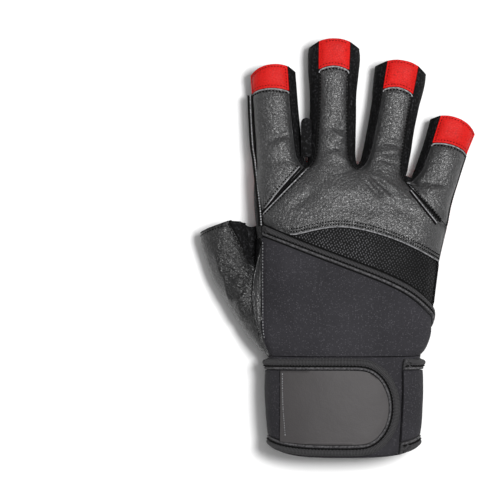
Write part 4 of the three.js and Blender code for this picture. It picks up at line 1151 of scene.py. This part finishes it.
class GLOVE_OT_tape_trim(GloveStep):
    """Ridges and stitches along the taped edges, and the seams of the strap"""

    bl_idname = "glove.tape_trim"
    bl_label = "Tape trim"

    def execute(self, context):
        around = ("wrist_strap", "strap_patch")
        taped = (("edge_binding", ("neoprene_panel",), 3.9), ("strap_binding", around, 5.0))
        for node, beside, rolled in taped:
            line = seam_line(node, beside, rolled * MM, -0.9 * MM)
            lay_along(piping(node + "_roll", [line], "ribbed tape", "ribbed_tape", 3.2 * MM), line)
            # Painted highlight: the thin ridge of each tape is a raised cord in a lighter colour than the
            # tape
            ridge = seam_line(node, beside, 0.8 * MM, 0.1 * MM)
            piping(node + "_ridge", [ridge], "cord", "ribbed_tape", 1.4 * MM)
            groove = seam_line(node, beside, 2.1 * MM, -0.1 * MM)
            piping(node + "_groove", [groove], "black thread", "ribbed_tape", 1.0 * MM)
            row = seam_line(node, beside, 2.35 * MM, 0.2 * MM)
            stitches(node + "_stitches", [row], "black thread", "ribbed_tape", 1.9 * MM, 1.3 * MM, 0.9 * MM)
        edges = [
            seam_line("edge_binding", ("hand_back", "mesh_panel"), 0.0, -0.2 * MM),
            seam_line("neoprene_panel", ("edge_binding",), 0.0, -0.3 * MM),
            seam_line("mesh_panel", ("hand_back",), 0.0, -0.4 * MM),
            seam_line("mesh_panel", ("edge_binding",), 0.0, -0.4 * MM),
        ]
        piping("panel_gaps", edges, "black thread", "ribbed_tape", 1.0 * MM)
        strap = [
            drawn_line(PATCH_SEAM, ("strap_patch",), 0.05 * MM),
            drawn_line(STRAP_SEAM, ("wrist_strap",), 0.05 * MM),
        ]
        stitches("strap_stitches", strap, "dim edge highlight and pale thread", "neoprene", 1.3 * MM, 1.0 * MM, 0.6 * MM)
        grooves = [drawn_line(shifted(STRAP_SEAM, 0.8), ("wrist_strap",), -0.1 * MM)]
        piping("strap_groove", grooves, "black thread", "neoprene", 0.7 * MM)
        return {"FINISHED"}


# The middle of the picture, and the height at which its width is measured
VIEW_CENTRE = (-49.2 * MM, -1.5 * MM)
VIEW_HEIGHT = 25 * MM
PAPER = (0.93, 0.93, 0.93)


class GLOVE_OT_studio(GloveStep):
    """Pale floor, soft light and a camera straight above"""

    bl_idname = "glove.studio"
    bl_label = "Studio"

    def execute(self, context):
        studio = context.scene.glove_studio
        bpy.ops.object.select_all(action="DESELECT")
        bpy.ops.mesh.primitive_plane_add(size=6, location=(0, 0, cad_low.z))
        floor = context.view_layer.objects.active
        floor.name = "studio_floor"
        paper = Shader("studio paper", PAPER, 0.9, Specular_IOR_Level=0.0)
        floor.data.materials.append(paper.material)
        self.softbox("key_light", (0.42, 0.16, 1.6), 0.34, studio.key_power)
        self.softbox("top_light", (0.1, 0.1, 2.9), 1.2, studio.top_power)
        world = bpy.data.worlds.new("studio sky")
        world.use_nodes = True
        world.node_tree.nodes["Background"].inputs["Color"].default_value = (1, 1, 1, 1)
        world.node_tree.nodes["Background"].inputs["Strength"].default_value = studio.sky
        context.scene.world = world
        lens = bpy.data.cameras.new("camera")
        lens.sensor_width = 36
        lens.lens = lens.sensor_width * (studio.camera_height - VIEW_HEIGHT) / studio.view_width
        lens.clip_end = 20
        camera = bpy.data.objects.new("camera", lens)
        camera.location = (*VIEW_CENTRE, studio.camera_height)
        context.collection.objects.link(camera)
        context.scene.camera = camera
        context.scene.view_settings.view_transform = "Standard"
        return {"FINISHED"}

    def softbox(self, name, place, size, power):
        data = bpy.data.lights.new(name, "AREA")
        data.size = size
        data.energy = power
        light = bpy.data.objects.new(name, data)
        light.location = place
        light.rotation_euler = (Vector((0, 0, 0)) - Vector(place)).to_track_quat("-Z", "Y").to_euler()
        bpy.context.collection.objects.link(light)


STEPS = (
    GLOVE_OT_leather,
    GLOVE_OT_tabs,
    GLOVE_OT_cloth,
    GLOVE_OT_back_cloth,
    GLOVE_OT_palm,
    GLOVE_OT_strap,
    GLOVE_OT_bindings,
    GLOVE_OT_tab_stitches,
    GLOVE_OT_palm_stitches,
    GLOVE_OT_finger_seams,
    GLOVE_OT_diagonal_seams,
    GLOVE_OT_outer_seams,
    GLOVE_OT_thumb_web,
    GLOVE_OT_hem,
    GLOVE_OT_tape_trim,
    GLOVE_OT_studio,
)


class GLOVE_PT_sidebar(bpy.types.Panel):
    """Lists the glove's steps in order"""

    bl_idname = "GLOVE_PT_sidebar"
    bl_label = "Weightlifting glove"
    bl_space_type = "VIEW_3D"
    bl_region_type = "UI"
    bl_category = "Glove"

    def draw(self, context):
        for settings in ("glove_colours", "glove_trim", "glove_studio"):
            group = getattr(context.scene, settings)
            for name in group.__annotations__:
                self.layout.prop(group, name)
        for step in STEPS:
            self.layout.operator(step.bl_idname)


SETTINGS = {"glove_colours": GloveColours, "glove_trim": GloveTrim, "glove_studio": GloveStudio}
CLASSES = (*SETTINGS.values(), *STEPS, GLOVE_PT_sidebar)


def register():
    for item in CLASSES:
        bpy.utils.register_class(item)
    for name, group in SETTINGS.items():
        setattr(bpy.types.Scene, name, PointerProperty(type=group))


def unregister():
    for name in SETTINGS:
        delattr(bpy.types.Scene, name)
    for item in reversed(CLASSES):
        bpy.utils.unregister_class(item)


def main():
    register()
    for step in STEPS:
        family, name = step.bl_idname.split(".")
        getattr(getattr(bpy.ops, family), name)()


if __name__ == "__main__":
    main()
